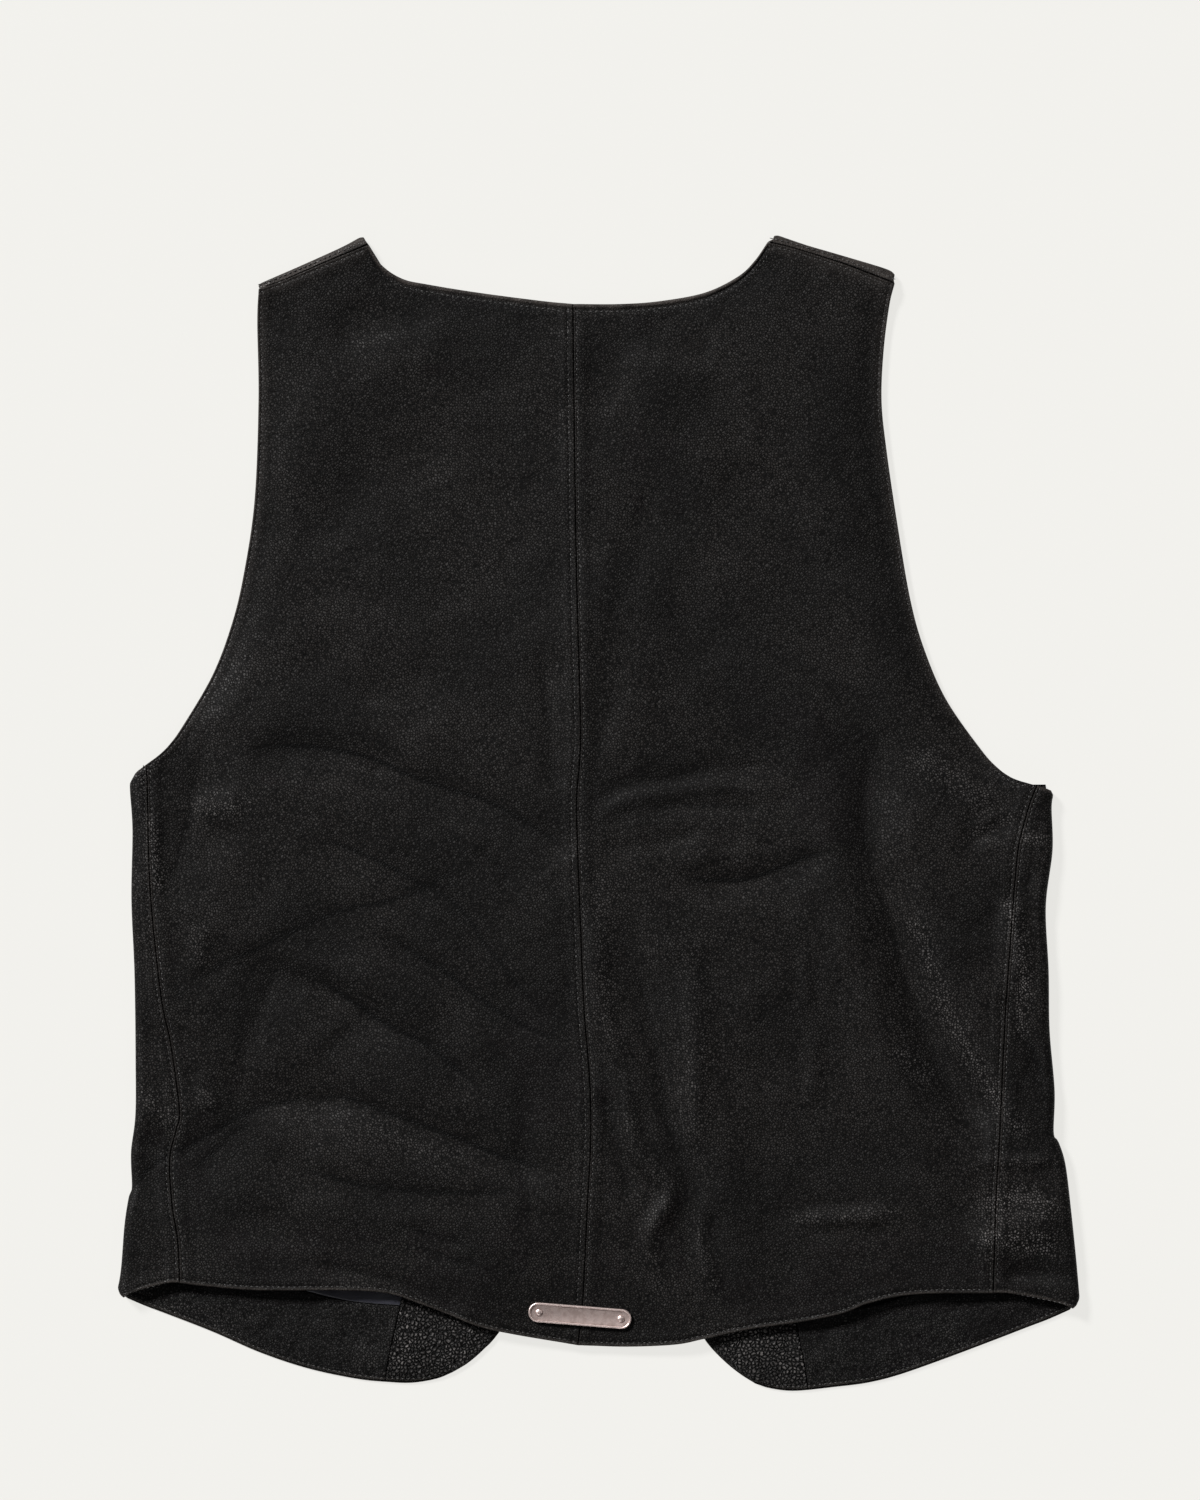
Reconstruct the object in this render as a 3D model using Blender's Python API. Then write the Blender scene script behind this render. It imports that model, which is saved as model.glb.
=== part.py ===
"""A leather vest laid flat on its front, back up.

The back is two halves joined down the centre. Each front lies under it, turns up round the side fold and
meets the back at a side seam that sits on top, and turns over the shoulder to a seam there too. The fronts
button under the vest, left over right, and are cut away below the last button. Leather facings and a strip
of lining show inside the hem, where the back is shorter than the fronts, and a metal plate sits on the back
hem. +X is to the wearer's right, +Y towards the collar, +Z up through the layers.
All tables are in millimetres.
"""

import bpy
import numpy as np

MM = 0.001

# Middle of the whole outline, which becomes the origin
CENTRE = (0.15, 0.143, 0.0)

# Walls and gaps
LEATHER = 1.4
FACING = 1.0
SEAM_GAP = 0.3
FOLD_REACH = 4.0
SHOULDER_REACH = 2.6
FRONT_MID = LEATHER / 2
FACING_MID = LEATHER + SEAM_GAP + FACING / 2

# Grid of each panel: columns across, rows up the side and up the armhole
BACK_COLUMNS = 26
FRONT_COLUMNS = 9
SIDE_ROWS = 24
ARMHOLE_ROWS = 16
FRONT_CUTAWAY_ROWS = 6
FRONT_BUTTON_ROWS = 3
SHOULDER_COLUMNS = 9
ARC_STEPS = 4
STRIP_STEPS = 2

# Outline of the back, seen from above: x, y
NECK = [(-132.2, 327.9), (-126.0, 318.5), (-113.7, 310.3), (-98.0, 306.8), (-69.6, 302.2), (-33.6, 297.5),
        (-14.5, 295.6), (12.8, 295.6), (36.0, 297.3), (62.0, 302.2), (81.2, 311.5), (91.0, 320.7), (98.6, 331.6)]
CENTRE_SEAM = [(-11.6, -309.0), (-8.7, -282.5), (-5.8, -223.3), (-4.1, -189.7), (-4.6, -156.6), (-8.1, -112.0),
               (-9.9, -67.9), (-11.6, -23.2), (-12.2, 7.5), (-9.9, 42.3), (-10.4, 71.3), (-12.2, 133.4),
               (-13.3, 200.0), (-14.5, 295.6)]
BACK_HEM_LEFT = [(-242.4, -272.4), (-227.4, -274.3), (-196.0, -276.7), (-149.0, -276.7), (-122.4, -278.4),
                 (-104.4, -284.2), (-87.0, -290.8), (-69.0, -298.0), (-47.6, -302.8), (-11.6, -309.0)]
BACK_HEM_RIGHT = [(229.1, -278.4), (193.7, -278.6), (174.0, -280.2), (154.9, -284.8), (142.1, -290.0),
                  (118.3, -295.0), (88.7, -299.3), (62.0, -305.0), (45.2, -308.4), (17.4, -309.8), (-11.6, -309.0)]

SIDES = {
    "left": {
        "out": -1,
        "back_hem": BACK_HEM_LEFT,
        "side_seam": [(-242.4, -272.4), (-243.6, -247.7), (-247.0, -226.8), (-248.4, -201.0), (-244.6, -183.9),
                      (-242.6, -172.0), (-247.7, -134.0), (-252.3, -112.0), (-256.4, -79.5), (-259.8, -38.9),
                      (-261.6, 29.0)],
        "armhole": [(-261.6, 29.0), (-252.9, 36.5), (-240.7, 51.0), (-223.9, 80.0), (-212.9, 109.0),
                    (-205.9, 138.0), (-199.5, 181.5), (-197.2, 239.5), (-197.6, 285.0), (-195.2, 303.7)],
        "shoulder_seam": [(-195.2, 303.7), (-182.1, 309.4), (-156.8, 319.4), (-132.2, 327.9)],
        "side_outline": [(-279.7, -279.0), (-277.0, -265.0), (-274.9, -239.0), (-272.4, -222.7), (-270.7, -217.5),
                         (-271.2, -197.0), (-268.6, -175.2), (-268.5, -143.3), (-269.1, -94.0), (-270.9, -50.5),
                         (-270.3, -10.0), (-271.4, 21.5)],
        "shoulder_outline": [(-197.0, 307.0), (-187.3, 311.5), (-172.8, 317.8), (-149.6, 328.3), (-136.6, 335.3)],
        "front_armhole": [(-266.7, 21.5), (-243.0, 36.5), (-222.0, 68.0), (-207.0, 104.0), (-193.0, 150.0),
                          (-187.0, 200.0), (-186.0, 250.0), (-189.5, 285.0), (-194.4, 304.6)],
        "front_hem": [(-273.7, -282.0), (-263.0, -286.6), (-251.7, -290.8), (-223.9, -301.6), (-196.0, -313.8),
                      (-168.2, -323.0), (-140.4, -328.9), (-121.8, -330.8), (-107.9, -331.2), (-94.0, -328.9), (-84.7, -325.2)],
        "cutaway": [(-84.7, -325.2), (-75.4, -319.6), (-66.1, -311.5), (-56.8, -301.0), (-30.0, -262.0),
                    (11.5, -212.0)],
        "neckline": [(0.5, 90.0), (-25.0, 140.0), (-60.0, 200.0), (-95.0, 262.0), (-118.0, 303.0),
                     (-125.5, 317.5), (-134.3, 331.9)],
        "facing_seam": [(-123.5, -330.2), (-120.0, -311.5), (-116.0, -294.0), (-111.0, -270.0), (-104.0, -240.0)],
        "facing_top": [(-104.0, -240.0), (-80.0, -239.0), (-48.0, -238.5), (-18.0, -238.0)],
        "button_edge": 10.0,
        "lift_from": (-228.0, -206.0),
    },
    "right": {
        "out": 1,
        "back_hem": BACK_HEM_RIGHT,
        "side_seam": [(229.1, -278.4), (230.8, -224.5), (233.2, -183.9), (234.9, -143.3), (237.2, -102.7),
                      (240.1, -62.0), (243.0, -27.3), (245.3, -13.3), (250.6, 5.8), (254.6, 16.4)],
        "armhole": [(254.6, 16.4), (237.2, 21.5), (222.1, 36.5), (202.4, 65.5), (189.7, 94.5), (181.5, 123.5),
                    (174.0, 167.0), (167.6, 210.5), (164.7, 239.5), (165.9, 268.5), (171.1, 303.3)],
        "shoulder_seam": [(171.1, 303.3), (147.3, 315.9), (123.5, 323.6), (98.6, 331.6)],
        "side_outline": [(280.0, -286.0), (278.2, -265.0), (274.6, -230.0), (271.4, -204.0), (267.4, -191.0),
                         (264.6, -185.6), (265.1, -160.7), (262.2, -126.0), (261.6, -91.0), (260.0, -54.0),
                         (263.9, -21.5), (264.3, 12.6)],
        "shoulder_outline": [(173.6, 313.2), (164.5, 317.0), (136.3, 325.4), (120.0, 330.2), (102.6, 336.2)],
        "front_armhole": [(259.7, 13.2), (238.0, 13.0), (214.0, 32.0), (192.0, 64.0), (178.0, 96.0),
                          (165.0, 140.0), (156.0, 190.0), (153.0, 240.0), (158.0, 278.0), (170.6, 305.4)],
        "front_hem": [(274.6, -288.6), (262.0, -294.2), (249.4, -299.0), (230.8, -306.2), (203.0, -316.7),
                      (175.2, -326.5), (156.6, -331.2), (138.0, -333.6), (115.0, -335.9), (100.9, -334.6), (91.6, -331.8)],
        "cutaway": [(91.6, -331.8), (82.4, -326.0), (73.1, -318.4), (63.8, -308.6), (57.0, -298.0),
                    (30.0, -256.0), (-8.5, -212.0)],
        "neckline": [(-18.0, 90.0), (8.0, 145.0), (40.0, 210.0), (70.0, 270.0), (88.0, 309.0), (101.4, 332.6)],
        "facing_seam": [(121.8, -335.0), (118.9, -317.3), (114.8, -297.5), (110.5, -276.0), (105.0, -255.0)],
        "facing_top": [(105.0, -255.0), (82.0, -254.5), (56.0, -254.0), (29.0, -254.0)],
        "button_edge": -10.0,
        "lift_from": (-248.0, -224.0),
    },
}

# The bands inside the hem
HEM_FACING_WIDTH = 43.0
LINING_DEPTH = 60.0
FACING_INSET = 1.3

# Centre front line, and the buttons under it
CENTRE_FRONT_X = (1.5, -9.0)
CENTRE_FRONT_Y = (-212.0, 90.0)
BUTTON_Y = (-195.0, -127.5, -60.0, 7.5, 75.0)
BUTTON_RADIUS = 9.0
BUTTON_THICK = 2.6
BUTTON_SIDES = 16

# Plate on the back hem
PLATE_AT = (-10.5, -291.5)
PLATE_TURN_DEG = -4.6
PLATE_LENGTH = 60.0
PLATE_WIDTH = 11.5
PLATE_THICK = 1.5
PLATE_RIM = 1.3
PLATE_RIM_RISE = 0.5

# How high the middle of the back's wall lies, by section: y, then the height at each x of LOFT_X
LOFT_X = (-262.0, -160.0, -70.0, -8.0, 60.0, 160.0, 255.0)
LOFT = [
    (-312.0, 9.0, 9.8, 7.0, 4.4, 7.0, 9.6, 9.0),
    (-275.0, 9.0, 9.8, 8.4, 6.8, 8.6, 9.8, 9.0),
    (-225.0, 8.8, 9.6, 9.4, 8.8, 9.6, 9.6, 8.8),
    (-140.0, 8.8, 9.4, 9.4, 9.2, 9.6, 9.6, 8.8),
    (-50.0, 8.8, 9.2, 9.2, 9.2, 9.4, 9.4, 8.8),
    (20.0, 8.6, 8.2, 8.2, 9.0, 8.2, 8.2, 8.6),
    (95.0, 6.6, 6.4, 7.0, 8.6, 7.0, 6.4, 6.6),
    (170.0, 5.0, 5.2, 5.2, 6.2, 5.2, 5.2, 5.0),
    (250.0, 4.6, 4.8, 4.6, 4.6, 4.6, 4.8, 4.6),
    (340.0, 4.6, 4.6, 4.6, 4.6, 4.6, 4.6, 4.6),
]

# Free edges lie lower than the middle of the panel
EDGE_HEIGHT = 2.9
EDGE_WIDTH = 14.0
PIT_RISE = 6.0
PIT_WIDTH = 30.0

# Main folds of the back: rise of the puffs beside the valley, half-width of the valley, then its x, y points
VALLEYS = [
    (1.5, 10.0, [(-207.6, 36.0), (-167.0, 38.9), (-126.4, 30.7), (-85.8, 14.5), (-45.2, -4.0), (-9.0, -22.0)]),
    (1.5, 10.0, [(-138.0, -67.9), (-114.8, -82.4), (-85.8, -96.9), (-56.8, -111.4), (-22.0, -127.0)]),
    (1.3, 10.0, [(-172.8, -88.2), (-146.7, -108.5), (-114.8, -125.9), (-85.8, -146.2), (-62.6, -163.6)]),
    (1.2, 13.0, [(-155.4, -62.0), (-190.0, -90.0), (-207.0, -125.0), (-212.0, -165.0)]),
    (2.0, 11.0, [(-264.0, -211.0), (-242.4, -194.3), (-207.6, -172.3), (-172.8, -164.7), (-138.0, -169.4),
                 (-103.2, -183.9), (-68.4, -195.5), (-33.6, -207.1), (-4.6, -214.0)]),
    (1.2, 10.0, [(-184.4, -248.0), (-143.8, -254.0), (-108.0, -262.0), (-76.0, -278.0)]),
    (1.4, 10.0, [(-4.6, 10.0), (1.2, 55.5), (8.1, 100.3), (21.5, 172.8)]),
    (1.2, 10.0, [(1.2, -24.4), (30.2, -34.2), (59.2, -38.9), (94.0, -36.5), (146.2, -21.5)]),
    (2.6, 15.0, [(160.7, 42.3), (156.6, -9.9), (166.5, -50.5), (181.0, -96.9), (198.4, -143.3), (218.7, -178.0),
                 (240.0, -191.0), (262.0, -187.0)]),
    (1.8, 12.0, [(8.1, -50.5), (21.5, -85.3), (31.3, -131.7), (40.6, -172.3), (53.4, -207.1), (55.4, -233.2),
                 (62.0, -270.0)]),
    (1.6, 13.0, [(73.9, -85.3), (79.7, -137.5), (85.2, -195.5), (89.5, -239.0)]),
]
VALLEY_SHOULDER = 2.3
VALLEY_DEPTH = 1.0

LEATHER_LOOK = ((0.012, 0.011, 0.010, 1.0), 0.50, 0.0)
FACING_LOOK = ((0.010, 0.010, 0.010, 1.0), 0.38, 0.0)
LINING_LOOK = ((0.010, 0.011, 0.024, 1.0), 0.45, 0.0)
SILVER_LOOK = ((0.52, 0.48, 0.46, 1.0), 0.35, 1.0)


def clear_scene():
    for thing in list(bpy.data.objects):
        bpy.data.objects.remove(thing)


def ramp(value):
    """Smooth step from 0 to 1."""
    t = np.clip(value, 0.0, 1.0)
    return t * t * (3 - 2 * t)


def smooth_line(points, count, samples=24):
    """count + 1 points, evenly spaced along a smooth curve through the given points."""
    p = np.array(points, float)
    if len(p) > 2:
        ends = np.vstack([2 * p[0] - p[1], p, 2 * p[-1] - p[-2]])
        t = np.linspace(0, 1, samples, endpoint=False)[:, None]
        runs = []
        for a, b, c, d in zip(ends, ends[1:], ends[2:], ends[3:]):
            runs.append(0.5 * (2 * b + (c - a) * t + (2 * a - 5 * b + 4 * c - d) * t**2
                               + (3 * b - a - 3 * c + d) * t**3))
        p = np.vstack(runs + [p[-1:]])
    along = np.concatenate([[0], np.cumsum(np.linalg.norm(np.diff(p, axis=0), axis=1))])
    at = np.linspace(0, along[-1], count + 1)
    return np.stack([np.interp(at, along, p[:, k]) for k in range(2)], axis=1)


def chained(*lines):
    """Lines that follow on from each other, each without its repeated first point."""
    return np.vstack([lines[0]] + [line[1:] for line in lines[1:]])


def patch(bottom, top, outer, inner):
    """Grid of points between four edges: bottom and top run from the outer to the inner side."""
    v, u = np.meshgrid(np.linspace(0, 1, len(outer)), np.linspace(0, 1, len(bottom)), indexing="ij")
    v, u = v[..., None], u[..., None]
    across = (1 - u) * outer[:, None] + u * inner[:, None]
    up = (1 - v) * bottom[None] + v * top[None]
    corners = ((1 - u) * (1 - v) * bottom[0] + u * (1 - v) * bottom[-1]
               + (1 - u) * v * top[0] + u * v * top[-1])
    return across + up - corners


def distance(points, line):
    """Distance of each point from a line, and how far along the line its nearest point is, from 0 to 1."""
    shape = points.shape[:-1]
    p = points.reshape(-1, 1, 2)
    a, b = line[None, :-1], line[None, 1:]
    d = b - a
    t = np.clip(((p - a) * d).sum(-1) / (d * d).sum(-1), 0, 1)
    away = np.linalg.norm(p - a - t[..., None] * d, axis=-1)
    nearest = away.argmin(1)
    rows = np.arange(len(away))
    along = (nearest + t[rows, nearest]) / (len(line) - 1)
    return away[rows, nearest].reshape(shape), along.reshape(shape)


def hermite(knots, values, at):
    """Smooth curve through values at knots; values has one row for each place in at, or one for all."""
    knots = np.array(knots, float)
    slopes = np.gradient(values, knots, axis=-1)
    i = np.clip(np.searchsorted(knots, at) - 1, 0, len(knots) - 2)
    step = knots[i + 1] - knots[i]
    t = np.clip((at - knots[i]) / step, 0, 1)

    def pick(table, index):
        if table.ndim == 1:
            return table[index]
        return np.take_along_axis(table, index[:, None], axis=1)[:, 0]

    return ((2 * t**3 - 3 * t**2 + 1) * pick(values, i) + (t**3 - 2 * t**2 + t) * step * pick(slopes, i)
            + (3 * t**2 - 2 * t**3) * pick(values, i + 1) + (t**3 - t**2) * step * pick(slopes, i + 1))


def loft_height(points):
    """Height of the wall's middle read from the LOFT sections."""
    table = np.array(LOFT)
    flat = points.reshape(-1, 2)
    columns = [hermite(table[:, 0], table[:, k + 1], flat[:, 1]) for k in range(len(LOFT_X))]
    return hermite(LOFT_X, np.stack(columns, axis=1), flat[:, 0]).reshape(points.shape[:-1])


def valley_height(points):
    """Each fold is a valley between two soft puffs, and fades out at its ends."""
    total = np.zeros(points.shape[:-1])
    for rise, half, line in VALLEYS:
        away, along = distance(points, smooth_line(line, 6 * (len(line) - 1)))
        fade = ramp(along / 0.16) * ramp((1 - along) / 0.16)
        puff = np.exp(-(away / (VALLEY_SHOULDER * half)) ** 2)
        dip = VALLEY_DEPTH * np.exp(-(away / half) ** 2)
        total += rise * fade * (puff - dip)
    return total


def free_edges():
    """The back's armholes and neck, which no seam holds up."""
    lines = [smooth_line(SIDES[name]["armhole"], 40) for name in SIDES]
    return lines + [smooth_line(NECK, 40)]


def top_height(points):
    """Height of the middle of the upper layer: the back, and the fronts where they turn over onto it."""
    base = loft_height(points) + valley_height(points)
    away = np.min([distance(points, line)[0] for line in free_edges()], axis=0)
    low = np.full(base.shape, EDGE_HEIGHT)
    for side in SIDES.values():
        pit = np.array(side["armhole"][0])
        low = low + PIT_RISE * np.exp(-(np.linalg.norm(points - pit, axis=-1) / PIT_WIDTH) ** 2)
        seam = smooth_line(side["shoulder_seam"], 12)
        low = low + (base - low) * np.exp(-(distance(points, seam)[0] / EDGE_WIDTH) ** 2)
    low = np.minimum(low, base)
    return low + (base - low) * (1 - np.exp(-((away / EDGE_WIDTH) ** 1.5)))


def centre_front(y):
    return np.interp(y, CENTRE_FRONT_Y, CENTRE_FRONT_X)


def front_height(name, points):
    """Height of the middle of a front's wall: flat on the floor, and lifted over the buttons at the overlap."""
    x, y = points[..., 0], points[..., 1]
    from_centre = x - centre_front(y)
    start, full = SIDES[name]["lift_from"]
    at_buttons = ramp((y - start) / (full - start)) * ramp((150 - y) / 45)
    if name == "left":
        return FRONT_MID + (BUTTON_THICK + SEAM_GAP) * ramp((from_centre + 46) / 26) * at_buttons
    over_left = BUTTON_THICK + SEAM_GAP + LEATHER + SEAM_GAP
    return FRONT_MID + over_left * ramp((66 - from_centre) / 44) * at_buttons


def grid_faces(index):
    """Quads of a grid of vertex numbers."""
    return np.stack([index[:-1, :-1], index[:-1, 1:], index[1:, 1:], index[1:, :-1]], axis=-1).reshape(-1, 4)


def wall(name, middle, outward, faces, thickness, look):
    """A closed wall of even thickness round a middle surface, given the outward direction at each point.
    outward may be longer than one where the wall slopes."""
    count = len(middle)
    points = np.vstack([middle + outward * thickness / 2, middle - outward * thickness / 2])
    one = middle[faces[0]]
    normal = np.cross(one[1] - one[0], one[3] - one[0])
    if normal @ outward[faces[0][0]] < 0:
        faces = faces[:, ::-1]
    edges = {}
    for face in faces:
        for a, b in zip(face, np.roll(face, -1)):
            edges[(int(a), int(b))] = True
    rim = [(b, a, a + count, b + count) for a, b in edges if (b, a) not in edges]
    quads = [tuple(int(i) for i in f) for f in faces]
    inner = [tuple(int(i) + count for i in f[::-1]) for f in faces]
    return finished(name, points, quads + inner + rim, look)


def finished(name, points, faces, look):
    """The object of points in millimetres and faces, in its material."""
    mesh = bpy.data.meshes.new(name)
    mesh.from_pydata([tuple(p) for p in (np.array(points) - CENTRE) * MM], [], faces)
    mesh.validate()
    mesh.shade_smooth()
    mesh.set_sharp_from_angle(angle=0.7)
    thing = bpy.data.objects.new(name, mesh)
    bpy.context.scene.collection.objects.link(thing)
    colour, roughness, metallic = look
    material = bpy.data.materials.new(name)
    material.use_nodes = True
    shader = material.node_tree.nodes["Principled BSDF"]
    shader.inputs["Base Color"].default_value = colour
    shader.inputs["Roughness"].default_value = roughness
    shader.inputs["Metallic"].default_value = metallic
    mesh.materials.append(material)
    return thing


def raised(points, heights):
    """Points in the plane with their heights."""
    return np.concatenate([points, heights[..., None]], axis=-1)


def flat_wall(name, points, heights, thickness, look, up=1.0):
    """A wall that lies flat: its faces are straight above and below its middle."""
    grid = raised(points, heights)
    index = np.arange(grid.shape[0] * grid.shape[1]).reshape(grid.shape[:2])
    outward = np.tile([0.0, 0.0, up], (index.size, 1))
    return wall(name, grid.reshape(-1, 3), outward, grid_faces(index), thickness, look)


def back_panel(name):
    """Half of the back: side seam and armhole outside, centre seam inside, shoulder and neck at the top."""
    side = SIDES[name]
    out = side["out"]
    seam_shift = np.array([-out * SEAM_GAP / 2, 0.0])
    shoulder_shift = np.array([0.0, -SEAM_GAP * 0.55])
    neck_columns = BACK_COLUMNS - SHOULDER_COLUMNS
    neck = NECK[:7] if name == "left" else NECK[:5:-1]
    centre_side = np.array([out * SEAM_GAP / 2, 0.0])
    bottom = smooth_line(side["back_hem"], BACK_COLUMNS)
    top = chained(smooth_line(side["shoulder_seam"], SHOULDER_COLUMNS) + shoulder_shift,
                  smooth_line(neck, neck_columns))
    outer = chained(smooth_line(side["side_seam"], SIDE_ROWS) + seam_shift,
                    smooth_line(side["armhole"], ARMHOLE_ROWS))
    lower = [p for p in CENTRE_SEAM if p[1] < 20] + [(-10.9, 25.0)]
    upper = [(-10.9, 25.0)] + [p for p in CENTRE_SEAM if p[1] > 30]
    inner = chained(smooth_line(lower, SIDE_ROWS), smooth_line(upper, ARMHOLE_ROWS)) + centre_side
    bottom[0], bottom[-1] = outer[0], inner[0]
    top[0] = outer[-1] = smooth_line(side["shoulder_seam"], SHOULDER_COLUMNS)[0] + shoulder_shift
    top[-1] = inner[-1]
    grid = patch(bottom, top, outer, inner)
    flat_wall(f"back_{name}", grid, top_height(grid), LEATHER, LEATHER_LOOK)


def side_fold(name):
    """Where the fold round the side begins and ends, row by row: the outline moved in by the fold's reach."""
    side = SIDES[name]
    line = smooth_line(side["side_outline"], SIDE_ROWS)
    return line - np.array([side["out"] * (FOLD_REACH + LEATHER / 2), 0.0])


def turned_strip(base, end, rise_to, reach, outward_flat):
    """Rows of points round a fold and on to a seam on top, with their outward directions.
    base is the row of fold starts, with heights; end is where the strip stops, in the plane."""
    start = base[:, :2]
    top_start = top_height(start)
    middle = (top_start + base[:, 2]) / 2
    half = (top_start - base[:, 2]) / 2
    points, directions = [], []
    for angle in np.linspace(0, np.pi, ARC_STEPS + 1)[1:]:
        place = start + outward_flat * reach * np.sin(angle)
        points.append(raised(place, middle - half * np.cos(angle)))
        way = np.concatenate([outward_flat * np.sin(angle), np.full((len(start), 1), -np.cos(angle))], axis=1)
        directions.append(way / np.linalg.norm(way, axis=1)[:, None])
    for share in np.linspace(0, 1, rise_to + 1)[1:]:
        place = start + (end - start) * share
        points.append(raised(place, top_height(place)))
        directions.append(np.tile([0.0, 0.0, 1.0], (len(start), 1)))
    return np.array(points), np.array(directions)


def front_panel(name):
    """A front: its main part under the back, the strip round the side, and the strip over the shoulder."""
    side = SIDES[name]
    out = side["out"]
    fold = side_fold(name)
    shoulder_outline = smooth_line(side["shoulder_outline"], FRONT_COLUMNS)
    along = np.gradient(shoulder_outline, axis=0)
    shoulder_normal = np.stack([along[:, 1], -along[:, 0]], axis=1) * out
    shoulder_normal /= np.linalg.norm(shoulder_normal, axis=1)[:, None]
    shoulder_normal *= np.sign(shoulder_normal[:, 1:])
    shoulder_fold = shoulder_outline - shoulder_normal * (SHOULDER_REACH + LEATHER / 2)
    edge = side["button_edge"]
    top_button_y = CENTRE_FRONT_Y[1]
    front_edge_low = [(centre_front(y) + edge, y) for y in (CENTRE_FRONT_Y[0], 20.0)]
    front_edge_high = [(centre_front(y) + edge, y) for y in (20.0, top_button_y)]
    bottom = smooth_line(side["front_hem"], FRONT_COLUMNS)
    inner = chained(smooth_line(side["cutaway"], FRONT_CUTAWAY_ROWS),
                    smooth_line(front_edge_low, SIDE_ROWS - FRONT_CUTAWAY_ROWS),
                    smooth_line(front_edge_high, FRONT_BUTTON_ROWS),
                    smooth_line(side["neckline"], ARMHOLE_ROWS - FRONT_BUTTON_ROWS))
    outer = chained(fold, smooth_line(side["front_armhole"], ARMHOLE_ROWS))
    bottom[0], bottom[-1] = outer[0], inner[0]
    shoulder_fold[0] = outer[-1]
    inner[-1] = shoulder_fold[-1]
    plane = patch(bottom, shoulder_fold, outer, inner)
    main = raised(plane, front_height(name, plane))
    rows, columns = main.shape[:2]
    index = np.arange(rows * columns).reshape(rows, columns)
    points = [main.reshape(-1, 3)]
    directions = [np.tile([0.0, 0.0, -1.0], (rows * columns, 1))]
    faces = [grid_faces(index)]
    used = rows * columns

    seam = smooth_line(side["side_seam"], SIDE_ROWS) + np.array([out * SEAM_GAP / 2, 0.0])
    sideways = np.tile([float(out), 0.0], (SIDE_ROWS + 1, 1))
    strip, ways = turned_strip(main[:SIDE_ROWS + 1, 0], seam, STRIP_STEPS, FOLD_REACH, sideways)
    strip_index = used + np.arange(strip.shape[0] * strip.shape[1]).reshape(strip.shape[:2])
    points.append(strip.reshape(-1, 3))
    directions.append(ways.reshape(-1, 3))
    faces.append(grid_faces(np.vstack([strip_index[::-1], index[:SIDE_ROWS + 1, 0][None]]).T))
    used += strip_index.size

    seam = smooth_line(side["shoulder_seam"], FRONT_COLUMNS) + np.array([0.0, SEAM_GAP * 0.55])
    strip, ways = turned_strip(main[-1], seam, 1, SHOULDER_REACH, shoulder_normal)
    strip_index = used + np.arange(strip.shape[0] * strip.shape[1]).reshape(strip.shape[:2])
    points.append(strip.reshape(-1, 3))
    directions.append(ways.reshape(-1, 3))
    faces.append(grid_faces(np.vstack([index[-1][None], strip_index])))
    wall(f"front_{name}", np.vstack(points), np.vstack(directions), np.vstack(faces), LEATHER, LEATHER_LOOK)


def facing_seam(name, count):
    """Seam between the two facings, from just inside the front hem upwards."""
    return smooth_line(SIDES[name]["facing_seam"], count) + np.array([0.0, FACING_INSET])


def beside_seam(name, y):
    """x just outside the facing seam, at each y."""
    seam = facing_seam(name, 40)
    return np.interp(y, seam[:, 1], seam[:, 0]) + SIDES[name]["out"] * SEAM_GAP


def hem_facing(name, columns=14, rows=3):
    """Leather band inside the front hem, from the side fold to the facing of the front edge."""
    out = SIDES[name]["out"]
    hem = smooth_line(SIDES[name]["front_hem"], 60)
    seam = facing_seam(name, 40)
    low = smooth_line(hem[out * hem[:, 0] > out * seam[0, 0] + SEAM_GAP], columns) + np.array([0.0, FACING_INSET])
    low[0, 0] = side_fold(name)[0, 0] - out * 1.0
    high = low + np.array([0.0, HEM_FACING_WIDTH])
    high[:, 0] -= out * 6.0 * np.linspace(1, 0, columns + 1)
    grid = low[None] + (high - low)[None] * np.linspace(0, 1, rows + 1)[:, None, None]
    grid[:, -1, 0] = beside_seam(name, grid[:, -1, 1])
    heights = front_height(name, grid) + FACING_MID - FRONT_MID
    flat_wall(f"hem_facing_{name}", grid, heights, FACING, FACING_LOOK)
    return grid[-1]


def front_facing(name, columns=5, rows=8):
    """Leather facing inside the cut-away front edge, up to where the back hides it."""
    side = SIDES[name]
    out = side["out"]
    outer = facing_seam(name, rows)
    hem = smooth_line(side["front_hem"], 60) + np.array([0.0, FACING_INSET])
    bottom = smooth_line(np.vstack([outer[:1], hem[out * hem[:, 0] < out * outer[0, 0]]]), columns)
    edge = smooth_line(side["cutaway"], 60) + np.array([out * FACING_INSET, 0.0])
    inner = smooth_line(edge[edge[:, 1] < side["facing_top"][-1][1]], rows)
    top = smooth_line([outer[-1]] + side["facing_top"][1:3] + [inner[-1]], columns)
    bottom[-1] = inner[0]
    grid = patch(bottom, top, outer, inner)
    heights = front_height(name, grid) + FACING_MID - FRONT_MID
    flat_wall(f"front_facing_{name}", grid, heights, FACING, FACING_LOOK)


def lining(name, band_top, columns=10, rows=3):
    """Lining above the hem facing, as deep as can be seen from the hem."""
    low = smooth_line(band_top[1:], columns) + np.array([0.0, SEAM_GAP])
    high = low + np.array([0.0, LINING_DEPTH])
    high[:, 1] = np.minimum(high[:, 1], facing_seam(name, 40)[-1, 1])
    grid = low[None] + (high - low)[None] * np.linspace(0, 1, rows + 1)[:, None, None]
    grid[:, -1, 0] = beside_seam(name, grid[:, -1, 1])
    heights = front_height(name, grid) + FACING_MID - FRONT_MID
    flat_wall(f"lining_{name}", grid, heights, FACING, LINING_LOOK)


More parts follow.
